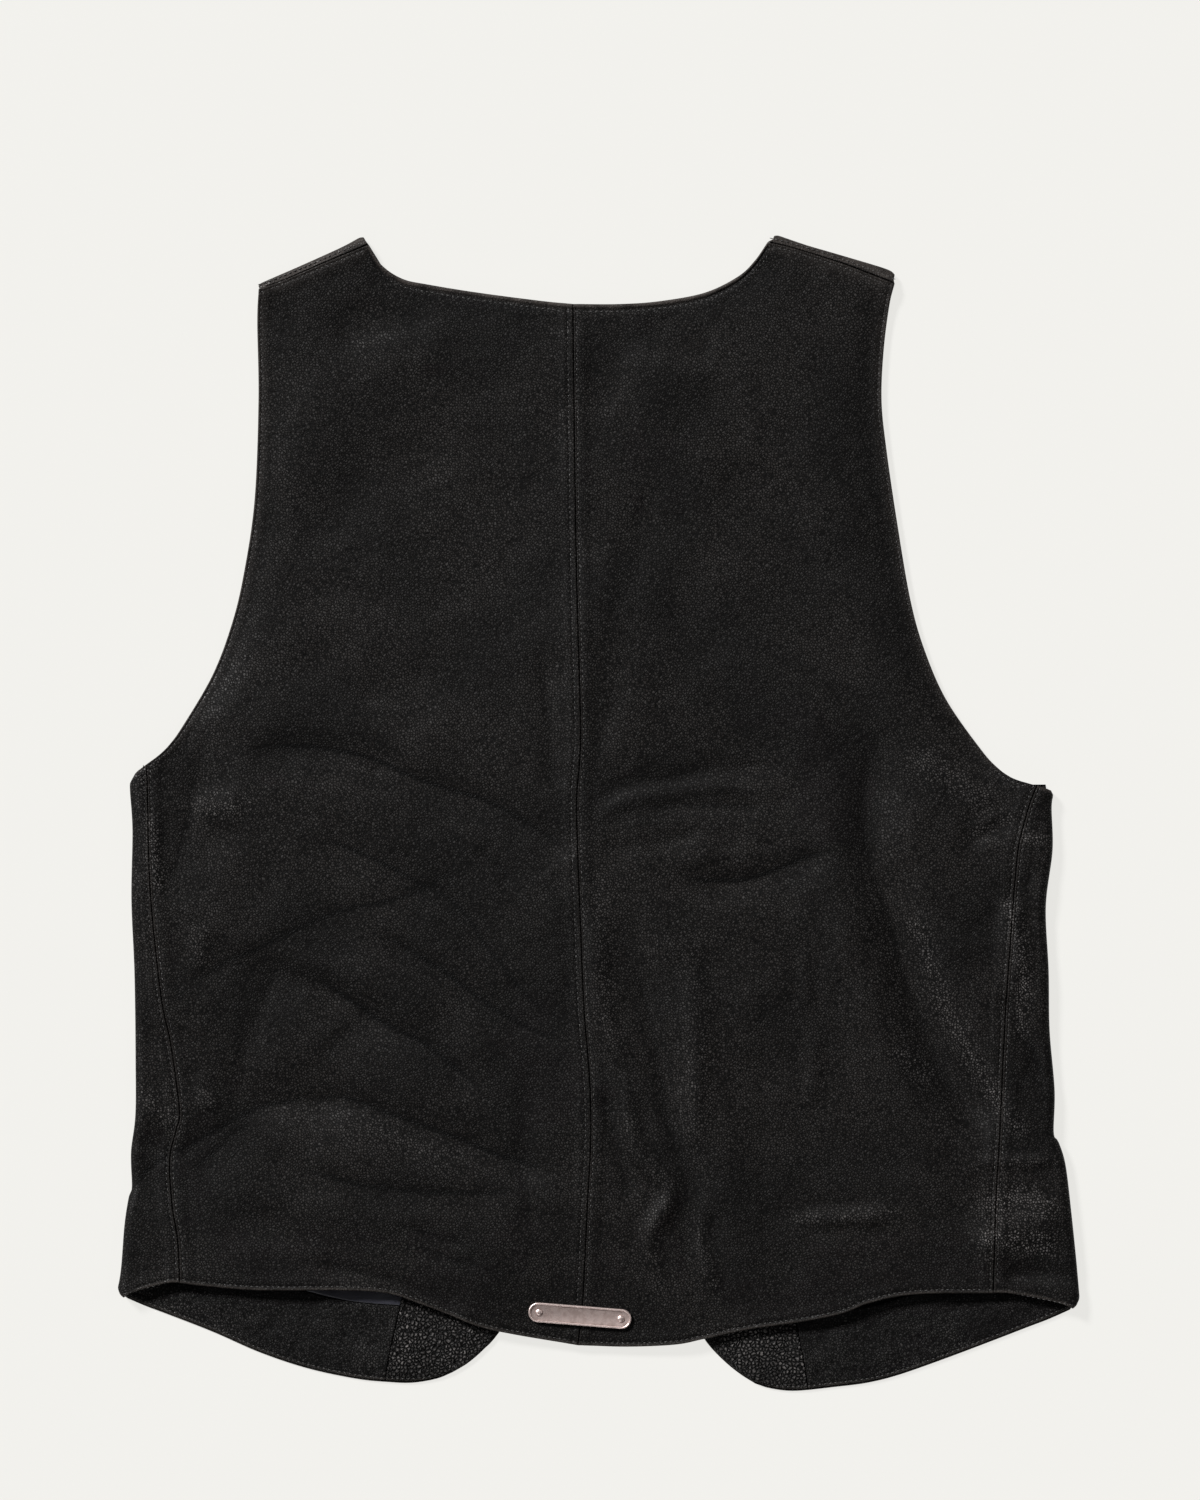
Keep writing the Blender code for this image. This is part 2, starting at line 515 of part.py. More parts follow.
def turned_disc(name, centre, rings, sides, look):
    """A round piece from its profile: rings of radius and height, each end closed by a point."""
    angles = np.linspace(0, 2 * np.pi, sides, endpoint=False)
    points = [(centre[0], centre[1], rings[0][1])]
    for radius, height in rings[1:-1]:
        points += [(centre[0] + radius * np.cos(a), centre[1] + radius * np.sin(a), height) for a in angles]
    points.append((centre[0], centre[1], rings[-1][1]))
    faces = []
    for i in range(sides):
        j = (i + 1) % sides
        faces.append((0, 1 + j, 1 + i))
        for ring in range(len(rings) - 3):
            low = 1 + ring * sides
            faces.append((low + i, low + j, low + sides + j, low + sides + i))
        last = 1 + (len(rings) - 3) * sides
        faces.append((last + i, last + j, len(points) - 1))
    return finished(name, points, faces, look)


def button(number, y):
    """A flat-backed metal button under the overlap, its rim and face towards the floor."""
    r, t = BUTTON_RADIUS, BUTTON_THICK
    profile = [(0.0, 0.0), (r - 3.0, 0.0), (r - 1.0, 0.35), (r, 1.2), (r, t - 0.5), (r - 0.6, t), (0.0, t)]
    turned_disc(f"button_{number}", (float(centre_front(y)), y), profile, BUTTON_SIDES, SILVER_LOOK)


def plate_outline(inset, count):
    """Oblong with round ends, moved in by inset."""
    radius = PLATE_WIDTH / 2 - inset
    straight = (PLATE_LENGTH - PLATE_WIDTH) / 2
    turns = np.linspace(-np.pi / 2, np.pi / 2, count)
    right = np.stack([straight + radius * np.cos(turns), radius * np.sin(turns)], axis=1)
    return np.vstack([right, -right])


def plate(count=9):
    """Plain metal plate with a raised rim, flat on the leather over the centre seam."""
    turn = np.radians(PLATE_TURN_DEG)
    spin = np.array([[np.cos(turn), np.sin(turn)], [-np.sin(turn), np.cos(turn)]])
    foot = plate_outline(0.0, count) @ spin + np.array(PLATE_AT)
    lift = top_height(foot) + LEATHER / 2
    plane, *_ = np.linalg.lstsq(np.c_[foot, np.ones(len(foot))], lift, rcond=None)
    clearance = (lift - np.c_[foot, np.ones(len(foot))] @ plane).max() + SEAM_GAP
    rims = [(0.0, 0.0), (0.0, PLATE_THICK), (PLATE_RIM * 0.3, PLATE_THICK + PLATE_RIM_RISE),
            (PLATE_RIM, PLATE_THICK + PLATE_RIM_RISE), (PLATE_RIM * 1.4, PLATE_THICK)]
    points = []
    for inset, height in rims:
        ring = plate_outline(inset, count) @ spin + np.array(PLATE_AT)
        base = np.c_[ring, np.ones(len(ring))] @ plane + clearance
        points.append(raised(ring, base + height))
    sides = 2 * count
    faces = [tuple(range(sides))[::-1], tuple(4 * sides + i for i in range(sides))]
    for ring in range(len(rims) - 1):
        for i in range(sides):
            j = (i + 1) % sides
            faces.append((ring * sides + i, ring * sides + j, (ring + 1) * sides + j, (ring + 1) * sides + i))
    finished("hem_plate", np.vstack(points), faces, SILVER_LOOK)


clear_scene()
for side_name in SIDES:
    back_panel(side_name)
    front_panel(side_name)
    front_facing(side_name)
left_band_top = hem_facing("left")
hem_facing("right")
lining("left", left_band_top)
for number, button_y in enumerate(BUTTON_Y, 1):
    button(number, button_y)
plate()
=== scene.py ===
"""Looks of a black leather vest that lies flat on its front, back up, on a pale studio table.

All sizes are in millimetres, as on the pattern; to_world() turns them into the frame's metres.
+X is to the wearer's right, +Y towards the collar, +Z up through the layers.
"""

import bpy
import numpy as np
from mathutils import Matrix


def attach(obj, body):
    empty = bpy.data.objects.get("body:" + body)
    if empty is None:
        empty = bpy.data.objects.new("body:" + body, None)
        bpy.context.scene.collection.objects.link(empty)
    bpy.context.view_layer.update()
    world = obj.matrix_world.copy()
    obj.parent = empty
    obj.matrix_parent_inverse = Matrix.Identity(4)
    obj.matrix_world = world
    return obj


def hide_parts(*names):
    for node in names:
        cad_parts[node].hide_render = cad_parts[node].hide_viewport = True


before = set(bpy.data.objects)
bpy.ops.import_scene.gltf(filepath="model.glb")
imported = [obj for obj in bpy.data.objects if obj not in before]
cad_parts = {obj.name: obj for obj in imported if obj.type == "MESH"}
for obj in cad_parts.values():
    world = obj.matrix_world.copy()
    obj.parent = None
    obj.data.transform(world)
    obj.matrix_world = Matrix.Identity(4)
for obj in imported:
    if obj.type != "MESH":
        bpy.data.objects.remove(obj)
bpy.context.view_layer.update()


# The back: two halves of soft black leather with a thin lining glued in, joined down the centre.
# It lies over the fronts, puffed up where air is caught, and is creased and pebbled by years of wear.
# Each half is a closed wall between its side seam, armhole, shoulder seam, neck, centre seam and hem.
# CENTRE is the pattern's point at the frame's origin; a free edge is rounded over RIM_ROUND, and a sewn one
# SEAM_TIGHTER times as tightly; CELL is the mesh's step in the open, EDGE_STOPS its steps beside an edge
CENTRE = np.array([0.15, 0.143, 0.0])
LEATHER = 1.4
RIM_ROUND = 0.8
SEAM_TIGHTER = 3.0
CELL = 2.0
EDGE_STOPS = [0.0, 0.3, 0.7, 1.2, 1.8, 2.4, 3.0, 3.6, 4.3, 5.2, 6.4, 7.8]
# Share of the mesh's rows that lie below the armhole, and of its columns that lie under the shoulder seam
PIT_SHARE = 0.6
SHOULDER_SHARE = 9 / 26
PIT_Y = 25.0

# Outlines and seams, x, y points, each side's from its outer end inwards or from the hem upwards
NECK = [(-133.4, 330), (-126, 318.5), (-113.7, 310.3), (-98, 306.8), (-69.6, 302.2), (-33.6, 297.5),
    (-14.5, 295.6), (12.8, 295.6), (36, 297.3), (62, 302.2), (81.2, 311.5), (91, 320.7), (98.6, 331.6)]
CENTRE_SEAM_LOW = [(-11.6, -309), (-8.7, -282.5), (-5.8, -223.3), (-4.1, -189.7), (-4.6, -156.6),
    (-8.1, -112), (-9.9, -67.9), (-11.6, -23.2), (-12.2, 7.5), (-10.9, PIT_Y)]
CENTRE_SEAM_HIGH = [(-10.9, PIT_Y), (-9.9, 42.3), (-10.4, 71.3), (-12.2, 133.4), (-13.3, 200),
    (-14.5, 295.6)]
SIDES = {
    "left": {
        "out": -1,
        "neck": NECK[:7],
        "back_hem": [(-242.4, -272.4), (-227.4, -274.3), (-196, -276.7), (-149, -276.7), (-122.4, -278.4),
            (-104.4, -284.2), (-87, -290.8), (-69, -298), (-47.6, -302.8), (-11.6, -309)],
        "side_seam": [(-242.4, -272.4), (-243.6, -247.7), (-247, -226.8), (-248.4, -201), (-244.6, -183.9),
            (-242.6, -172), (-247.7, -134), (-252.3, -112), (-256.4, -79.5), (-259.8, -38.9),
            (-261.6, 28.4)],
        "armhole": [(-261.6, 28.4), (-254.4, 33.8), (-248, 40.4), (-240.7, 51), (-223.9, 80), (-212.9, 109),
            (-205.9, 138), (-199.5, 181.5), (-197.2, 239.5), (-197.9, 285), (-197, 304.2)],
        "shoulder_seam": [(-197, 304.2), (-182.1, 309.6), (-156.8, 320.3), (-133.4, 330)],
    },
    "right": {
        "out": 1,
        "neck": NECK[:5:-1],
        "back_hem": [(229.1, -278.4), (193.7, -278.6), (174, -280.2), (154.9, -284.8), (142.1, -290),
            (118.3, -295), (88.7, -299.3), (62, -305), (45.2, -308.4), (17.4, -309.8), (-11.6, -309)],
        "side_seam": [(229.1, -278.4), (230.8, -224.5), (233.2, -183.9), (234.9, -143.3), (237.2, -102.7),
            (240.1, -62), (243, -27.3), (245.3, -13.3), (250.6, 5.8), (254.6, 15.8)],
        "armhole": [(254.6, 15.8), (244.8, 18.6), (238.7, 21.2), (231.7, 26.4), (222.6, 36.5), (202.4, 65.5),
            (189.7, 94.5), (181.5, 123.5), (174, 167), (167.6, 210.5), (164.7, 239.5), (165.9, 268.5),
            (169.2, 294.8), (172.2, 307.4)],
        "shoulder_seam": [(172.2, 307.4), (143.1, 318.6), (115, 327.6), (98.6, 331.6)],
    },
}

# How high the middle of the wall lies, by section: y, then the height at each x of LOFT_X
LOFT_X = (-262.0, -160.0, -70.0, -8.0, 60.0, 160.0, 255.0)
LOFT = [
    (-312, 9, 9.8, 7, 4.4, 7, 9.6, 9),
    (-275, 9, 9.8, 8.4, 6.8, 8.6, 9.8, 9),
    (-225, 8.8, 9.6, 9.4, 8.8, 9.6, 9.6, 8.8),
    (-140, 8.8, 9.4, 9.4, 9.2, 9.6, 9.6, 8.8),
    (-50, 8.8, 9.2, 9.2, 9.2, 9.4, 9.4, 8.8),
    (20, 8.6, 8.2, 8.2, 9, 8.2, 8.2, 8.6),
    (95, 6.6, 6.4, 7, 8.6, 7, 6.4, 6.6),
    (170, 5, 5.2, 5.2, 6.2, 5.2, 5.2, 5),
    (250, 4.6, 4.8, 4.6, 4.6, 4.6, 4.8, 4.6),
    (340, 4.6, 4.6, 4.6, 4.6, 4.6, 4.6, 4.6),
]
# The wall's middle at a free edge and at least; how far an edge pulls it down; how the pits gape
EDGE_HEIGHT = 2.9
LEAST_HEIGHT = 2.5
LEAST_SOFTNESS = 0.8
EDGE_WIDTH = 14.0
PIT_RISE = 6.0
PIT_WIDTH = 30.0

# Main folds: rise of the puffs beside the valley, half-width of the valley, its x, y points
VALLEY_SHOULDER = 2.3
VALLEYS = [
    (0.8, 12, [(-207.6, 36), (-167, 38.9), (-126.4, 30.7), (-85.8, 14.5), (-45.2, -4), (-9, -22)]),
    (0.7, 12, [(-138, -67.9), (-114.8, -82.4), (-85.8, -96.9), (-56.8, -111.4), (-22, -127)]),
    (0.7, 12, [(-172.8, -88.2), (-146.7, -108.5), (-114.8, -125.9), (-85.8, -146.2), (-62.6, -163.6)]),
    (0.6, 15, [(-155.4, -62), (-190, -90), (-207, -125), (-212, -165)]),
    (0.9, 13, [(-264, -211), (-242.4, -194.3), (-207.6, -172.3), (-172.8, -164.7), (-138, -169.4),
        (-103.2, -183.9), (-68.4, -195.5), (-33.6, -207.1), (-4.6, -214)]),
    (0.6, 12, [(-184.4, -248), (-143.8, -254), (-108, -262), (-76, -278)]),
    (1.4, 10, [(-4.6, 10), (1.2, 55.5), (8.1, 100.3), (21.5, 172.8)]),
    (0.7, 12, [(1.2, -24.4), (30.2, -34.2), (59.2, -38.9), (94, -36.5), (146.2, -21.5)]),
    (2.6, 15, [(160.7, 42.3), (156.6, -9.9), (166.5, -50.5), (181, -96.9), (198.4, -143.3), (218.7, -178),
        (240, -191), (262, -187)]),
    (1.8, 12, [(8.1, -50.5), (21.5, -85.3), (31.3, -131.7), (40.6, -172.3), (53.4, -207.1), (55.4, -233.2),
        (62, -270)]),
    (1.6, 13, [(73.9, -85.3), (79.7, -137.5), (85.2, -195.5), (89.5, -239)]),
]

# Creases, where the hide has folded over itself: depth, reach of the slope on the left of its run, reach of
# the bank on its right, height of the lip on the bank, how much shade is painted along its line, its x, y
# points
CREASES = [
    (2.3, 9, 22, 0.2, 1, [(-215, 34), (-197, 37), (-179, 39), (-155, 37), (-132, 32), (-109, 22), (-90, 15),
        (-67, 8), (-44, -4), (-20, -20), (-14, -27)]),
    (1.7, 7, 17, 0.2, 0.9, [(-190, -11), (-163, -16), (-148, -19), (-125, -29), (-103, -41), (-88, -49),
        (-76, -60), (-67, -74), (-55, -89), (-44, -103), (-30, -116), (-24, -126)]),
    (0.8, 4, 8, 0.1, 0.7, [(-70, -17), (-63, -26), (-55, -33), (-45, -46)]),
    (1.1, 7, 30, 0, 0.9, [(-245, -105), (-231, -97), (-217, -87), (-198, -79), (-180, -70), (-163, -62),
        (-146, -56), (-126, -52), (-103, -45), (-86, -35), (-57, -28)]),
    (1.4, 5, 10, 0.3, 1, [(-126, -65), (-117, -74), (-107, -81), (-92, -90), (-76, -102), (-61, -113),
        (-44, -123), (-28, -130), (-19, -135)]),
    (1.7, 6, 13, 0.2, 1, [(-175, -88), (-155, -101), (-140, -111), (-122, -123), (-103, -132), (-89, -143),
        (-74, -155), (-59, -175)]),
    (2.4, 10, 38, 0, 0.9, [(-278, -227), (-271, -219), (-262, -208), (-252, -200), (-237, -193),
        (-220, -183), (-202, -173), (-184, -168), (-163, -166), (-143, -168)]),
    (3, 10, 18, 0.3, 1, [(-180, -167), (-163, -166), (-144, -166), (-125, -173), (-102, -181), (-78, -190),
        (-59, -198), (-39, -204), (-15, -213)]),
    (0.8, 4, 14, 0, 0.7, [(-237, -207), (-228, -201), (-216, -190), (-195, -173)]),
    (1.6, 7, 15, 0.2, 0.8, [(-191, -200), (-163, -209), (-136, -216), (-113, -219), (-88, -220), (-59, -220),
        (-31, -216)]),
    (1.6, 8, 24, 0, 0.2, [(-254, -53), (-250, -43), (-244, -29), (-238, -2), (-235, 19), (-227, 46),
        (-223, 59)]),
    (2.2, 7, 9, 0.5, 0.35, [(-182, -258), (-144, -265), (-115, -273), (-92, -282), (-74, -292)]),
    (3.4, 17, 50, 0, 0, [(-215, -178), (-208, -161), (-204, -137), (-196, -114), (-188, -93), (-183, -80)]),
    (1.4, 9, 24, 0, 0, [(-180, -158), (-167, -148), (-153, -134), (-137, -119), (-116, -104)]),
    (4.3, 15, 21, 0.6, 0.35, [(240, -190), (227, -183), (216, -172), (204, -158), (194, -139), (186, -117),
        (177, -94), (171, -71), (165, -50), (159, -32), (155, -13), (154, 9), (157, 28), (162, 44),
        (166, 59)]),
    (2.3, 16, 15, 0.5, 0, [(235, -186), (215, -171), (197, -146), (183, -111), (174, -79), (167, -53)]),
    (1.5, 6, 17, 0.1, 1, [(38, -38), (63, -39), (81, -39), (94, -36), (110, -30), (125, -24), (146, -20)]),
    (1.1, 8, 9, 0.3, 0.2, [(-5, 13), (8, 17), (24, 20), (42, 21), (59, 25), (77, 28), (98, 27), (117, 21)]),
    (0.9, 4, 6, 0.1, 0.4, [(24, 3), (53, 4), (77, 4), (103, 2)]),
    (0.9, 6, 8, 0.2, 0.15, [(-3, -19), (13, -19), (28, -17), (48, -13), (65, -8)]),
    (2, 9, 16, 0.3, 0.3, [(41, -274), (51, -257), (57, -241), (58, -224), (53, -207), (45, -190), (39, -173),
        (36, -146), (32, -129), (29, -113), (24, -95), (17, -77), (10, -59)]),
    (1.2, 6, 8, 0.2, 0.2, [(20, -233), (16, -213), (12, -190), (5, -171), (-2, -162)]),
    (1.6, 11, 30, 0, 0, [(99, -259), (96, -224), (96, -190), (95, -155), (96, -120), (99, -88)]),
    (0.6, 7, 14, 0.1, 0, [(68, -242), (66, -201), (65, -166), (65, -132), (64, -94), (59, -74)]),
    (1.5, 6, 6, 0.4, 0.6, [(234, -103), (240, -113), (249, -129), (256, -147), (262, -163)]),
    (1.3, 5, 6, 0.3, 0.3, [(209, -19), (219, -14), (227, -8), (237, -3), (251, 1)]),
    (1.6, 7, 10, 0, 0.2, [(-24, 8), (-27, 28), (-29, 45), (-31, 71), (-34, 100)]),
    (0.8, 7, 12, 0.1, 0.05, [(-2, 21), (5, 54), (14, 89), (21, 124), (24, 170), (29, 199)]),
    (1.2, 7, 10, 0, 0, [(-36, -251), (-42, -219), (-44, -178), (-42, -149)]),
    (0.7, 3.5, 5, 0.1, 0.4, [(-120, -237), (-98, -244), (-70, -251)]),
    (0.6, 3, 5, 0.1, 0.4, [(-108, -251), (-90, -257), (-66, -262)]),
]

# Soft hollows and, where the depth is negative, ridges: depth, half-width, x, y points
HOLLOWS = [
    (-1.3, 15, [(212, -212), (190, -186), (172, -152), (160, -116), (150, -82), (142, -48), (134, -10)]),
    (0.8, 10, [(-231, -243), (-196, -240), (-155, -245), (-115, -249), (-74, -253)]),
    (-1.5, 6.5, [(-1, -48), (-1, -85), (1, -108), (7, -129), (17, -150)]),
    (-1.8, 5.2, [(5, -154), (14, -161), (17, -178), (21, -194), (30, -206), (39, -212), (42, -221),
        (38, -231), (31, -241), (30, -253), (34, -268), (36, -281)]),
    (-1.5, 5, [(60, -219), (60, -239), (59, -251), (63, -264), (70, -282)]),
    (-0.8, 6, [(53, -74), (56, -108), (57, -137), (56, -178), (53, -201)]),
    (-0.6, 4, [(119, -77), (121, -97), (122, -114)]),
    (-0.6, 4.5, [(126, -126), (125, -143), (123, -172)]),
    (-0.7, 4, [(-1, -11), (6, 1), (14, 6), (28, 10), (48, 13), (67, 15), (86, 13), (108, 10)]),
    (-0.6, 7, [(41, -26), (59, -26), (79, -27), (95, -23)]),
    (-1.1, 4.5, [(117, -234), (135, -235), (153, -234), (173, -233)]),
    (-0.7, 3, [(219, -202), (239, -202), (268, -201)]),
    (-2.4, 13, [(219, -260), (233, -248), (251, -240), (271, -240)]),
    (1.2, 5, [(234, -270), (256, -267), (280, -271)]),
    (-0.9, 5, [(-260, 1), (-259, -21), (-256, -45)]),
    (-1.1, 9, [(-235, 1), (-222, 2), (-204, 4)]),
    (-0.9, 6, [(-229, -63), (-231, -79), (-233, -95)]),
    (1.2, 9, [(-266, -197), (-257, -190), (-245, -183)]),
    (-0.8, 7, [(-231, -149), (-227, -164), (-224, -173)]),
    (-1.2, 7, [(256, -33), (260, -53), (262, -77)]),
    (-1.8, 7, [(239, -50), (242, -74), (248, -100)]),
    (-0.9, 4, [(217, -12), (229, -4), (248, 1)]),
    (-0.8, 12, [(210, 25), (222, 16), (233, 13)]),
    (0.9, 6, [(190, -48), (204, -62), (224, -74)]),
    (-0.6, 22, [(-184, 222), (-126, 257), (-74, 289)]),
    (1.5, 13, [(-158, 277), (-126, 287), (-86, 291)]),
    (1.3, 11, [(24, 287), (48, 274), (71, 269)]),
    (1.1, 20, [(-173, 147), (-138, 193), (-74, 222)]),
    (1.1, 20, [(59, 199), (106, 170), (135, 124)]),
    (-0.9, 18, [(117, 228), (135, 182), (152, 147)]),
    (1.2, 14, [(1, 228), (8, 263), (24, 280)]),
    (-1, 15, [(59, 100), (111, 71), (140, 31)]),
    (1, 16, [(-184, 100), (-138, 71), (-86, 66)]),
]

# Spots where a glint is painted onto the pebbles' tops in the leather's colour: share, half-width, x, y points
PAINTED_GLINTS = [
    (0.45, 5, [(186, -65), (193, -88), (201, -111), (219, -146), (233, -169), (244, -183)]),
    (0.6, 4.5, [(239, -53), (244, -77), (247, -100), (245, -126)]),
    (0.65, 9, [(229, -227), (240, -224), (256, -229)]),
    (0.65, 8, [(229, -248), (240, -246), (259, -250)]),
    (0.26, 2.6, [(114, -235), (140, -234), (172, -231)]),
    (0.35, 4.5, [(174, -139), (182, -144), (190, -152)]),
    (0.3, 9, [(190, 31), (204, 19), (222, 8)]),
    (0.35, 2.5, [(217, -13), (229, -5), (248, 0)]),
    (0.6, 3, [(248, -14), (258, -16)]),
    (0.42, 7, [(-231, 4), (-218, 3), (-206, 5)]),
    (0.6, 3.6, [(-260, -4), (-258, -21), (-255, -42)]),
    (0.35, 6, [(-264, -165), (-257, -171), (-248, -178)]),
    (0.45, 3.5, [(-229, -164), (-225, -170)]),
    (0.3, 3.5, [(-232, -65), (-230, -85)]),
    (0.18, 3, [(19, -175), (22, -195), (38, -213), (42, -222), (33, -235), (32, -249), (35, -277)]),
    (0.25, 3, [(59, -239), (61, -256), (68, -277)]),
    (0.3, 6, [(-260, 28), (-266, 16), (-268, 5)]),
    (0.15, 9, [(-129, -181), (-109, -191), (-89, -201)]),
    (0.12, 9, [(53, -74), (56, -114), (57, -155), (55, -195)]),
    (0.2, 5, [(-1, -39), (1, -74), (3, -108), (10, -132)]),
    (0.25, 3, [(219, -202), (245, -202), (271, -202)]),
]

# Past this distance from a crease its line is not marked; its painted shade reaches DARK_REACH from the line,
# fading over the last DARK_FADE
CREASE_REACH = 12.0
DARK_REACH = 9.0
DARK_FADE = 4.0

# Share of a line over which a crease or a main fold fades out at each end
CREASE_FADE = 0.22
VALLEY_FADE = 0.16

# Soft lumps all over: height, size of a lump, seed; and how many points the random grid has each way
LUMPS = [(0.40, 46.0, 11), (0.30, 21.0, 12), (0.13, 10.0, 13)]
NOISE_GRID = 96

# The plate's middle, near which the leather lies smooth
PLATE_AT = (-10.5, -291.5)
PLATE_REACH = 38.0
PLATE_FADE = 22.0


def to_world(points):
    """Pattern millimetres to frame metres."""
    return (np.asarray(points) - CENTRE) * 0.001


def ramp(value):
    """Smooth step from 0 to 1: three t squared less two t cubed."""
    t = np.clip(value, 0.0, 1.0)
    return t * t * (3 - 2 * t)


def smooth_curve(points, samples=24):
    """Catmull-Rom curve: each stretch blends its four nearest points with cubic weights."""
    p = np.array(points, float)
    if len(p) < 3:
        return p
    ends = np.vstack([2 * p[0] - p[1], p, 2 * p[-1] - p[-2]])
    t = np.linspace(0, 1, samples, endpoint=False)[None, :, None]
    a, b, c, d = (ends[k:len(ends) - 3 + k, None] for k in range(4))
    runs = 0.5 * (2 * b + (c - a) * t + (2 * a - 5 * b + 4 * c - d) * t**2 + (3 * b - a - 3 * c + d) * t**3)
    return np.vstack([runs.reshape(-1, p.shape[1]), p[-1:]])


def run_of(line):
    """Length along a line up to each of its points."""
    return np.concatenate([[0.0], np.cumsum(np.linalg.norm(np.diff(line, axis=0), axis=-1))])


def at_shares(line, shares):
    """Points of a line at given shares of its length."""
    run = run_of(line)
    return np.stack([np.interp(np.asarray(shares) * run[-1], run, line[:, k]) for k in range(2)], axis=-1)


def in_turn(lines, breaks, shares):
    """Lines laid end to end, each over its own stretch of the shares from one break to the next."""
    points = np.empty((len(shares), 2))
    for line, low, high in zip(lines, breaks, breaks[1:]):
        part = (shares >= low - 1e-9) & (shares <= high + 1e-9)
        points[part] = at_shares(smooth_curve(line), (shares[part] - low) / (high - low))
    return points


def spaced(length, at_start=True, at_end=True):
    """Shares from 0 to 1 along a length: EDGE_STOPS beside an edge, and even steps of about CELL between."""
    stops = np.array(EDGE_STOPS)
    low = stops if at_start else np.zeros(1)
    high = (length - stops)[::-1] if at_end else np.full(1, length)
    count = max(1, round((high[0] - low[-1]) / CELL))
    between = np.linspace(low[-1], high[0], count + 1)[1:-1]
    return np.concatenate([low, between, high]) / length


def patch(bottom, top, outer, inner, u, v):
    """Coons patch: the blend across plus the blend up, less the blend of the four corners."""
    u, v = u[None, :, None], v[:, None, None]
    across = (1 - u) * outer[:, None] + u * inner[:, None]
    up = (1 - v) * bottom[None] + v * top[None]
    corners = ((1 - u) * (1 - v) * bottom[0] + u * (1 - v) * bottom[-1]
               + (1 - u) * v * top[0] + u * v * top[-1])
    return across + up - corners


def beside(points, line, reach=1000.0):
    """Signed distance from a line, positive on its left, and how far along it the nearest point is, 0 to 1.
    A point further than reach outside the line's box is given as reach away, at its start."""
    shape = points.shape[:-1]
    flat = points.reshape(-1, 2)
    inside = np.all((flat > line.min(axis=0) - reach) & (flat < line.max(axis=0) + reach), axis=1)
    if not inside.all():
        away, along = np.full(len(flat), float(reach)), np.zeros(len(flat))
        if inside.any():
            away[inside], along[inside] = beside(flat[inside], line)
        return away.reshape(shape), along.reshape(shape)
    best = np.full(len(flat), np.inf)
    sign = np.ones(len(flat))
    along = np.zeros(len(flat))
    for k, (a, b) in enumerate(zip(line[:-1], line[1:])):
        step = b - a
        t = np.clip((flat - a) @ step / (step @ step), 0, 1)
        gap = flat - a - t[:, None] * step
        away = np.hypot(gap[:, 0], gap[:, 1])
        nearer = away < best
        best[nearer] = away[nearer]
        sign[nearer] = np.sign(step[0] * gap[nearer, 1] - step[1] * gap[nearer, 0])
        along[nearer] = (k + t[nearer]) / (len(line) - 1)
    return (best * sign).reshape(shape), along.reshape(shape)


def hermite(knots, values, at):
    """Cubic through values at knots, with central slopes; values has a row for each place, or one for all."""
    knots = np.array(knots, float)
    slopes = np.gradient(values, knots, axis=-1)
    i = np.clip(np.searchsorted(knots, at) - 1, 0, len(knots) - 2)
    step = knots[i + 1] - knots[i]
    t = np.clip((at - knots[i]) / step, 0, 1)

    def pick(table, index):
        if table.ndim == 1:
            return table[index]
        return np.take_along_axis(table, index[:, None], axis=1)[:, 0]

    return ((2 * t**3 - 3 * t**2 + 1) * pick(values, i) + (t**3 - 2 * t**2 + t) * step * pick(slopes, i)
            + (3 * t**2 - 2 * t**3) * pick(values, i + 1) + (t**3 - t**2) * step * pick(slopes, i + 1))


def loft_height(points):
    """Height of the wall's middle, read from the LOFT sections."""
    table = np.array(LOFT)
    flat = points.reshape(-1, 2)
    columns = [hermite(table[:, 0], table[:, k + 1], flat[:, 1]) for k in range(len(LOFT_X))]
    return hermite(LOFT_X, np.stack(columns, axis=1), flat[:, 0]).reshape(points.shape[:-1])


def end_fade(along, share=CREASE_FADE):
    """1 along the middle of a line, fading to 0 over a share of it at each end."""
    return ramp(along / share) * ramp((1 - along) / share)


def valley_height(points):
    """A fold is a wide bell less a narrow bell of the same height, and fades out at its ends."""
    total = np.zeros(points.shape[:-1])
    for rise, half, line in VALLEYS:
        away, along = beside(points, smooth_curve(line, 6), 6 * half)
        fade = end_fade(along, VALLEY_FADE)
        total += rise * fade * (np.exp(-(away / (VALLEY_SHOULDER * half)) ** 2) - np.exp(-(away / half) ** 2))
    return total


def crease_marks(points):
    """Height of all the creases, the signed distance of the nearest one's line, and how much shade is painted
    along that line.
    A crease falls to its line by an exponential slope on the left, and rises again by a bell-shaped bank to a
    fading lip on the right."""
    total = np.zeros(points.shape[:-1])
    nearest = np.full(points.shape[:-1], CREASE_REACH)
    darkness = np.zeros(points.shape[:-1])
    for depth, slope, bank, lip, dark, line in CREASES:
        lip_reach = 4 + 1.5 * bank
        away, along = beside(points, smooth_curve(line, 5), max(6 * slope, 3 * lip_reach))
        fade = end_fade(along)
        rise = np.exp(-(away / bank) ** 2)
        left = -depth * np.exp(-np.abs(away) / slope)
        right = -depth * rise + lip * (1 - rise) * np.exp(-(away / lip_reach) ** 2)
        total += fade * np.where(away > 0, left, right)
        closer = (np.abs(away) < np.abs(nearest)) & (fade * dark > 0.02)
        nearest = np.where(closer, away, nearest)
        darkness = np.where(closer, fade * dark * ramp((DARK_REACH - np.abs(away)) / DARK_FADE), darkness)
    return total, nearest, darkness


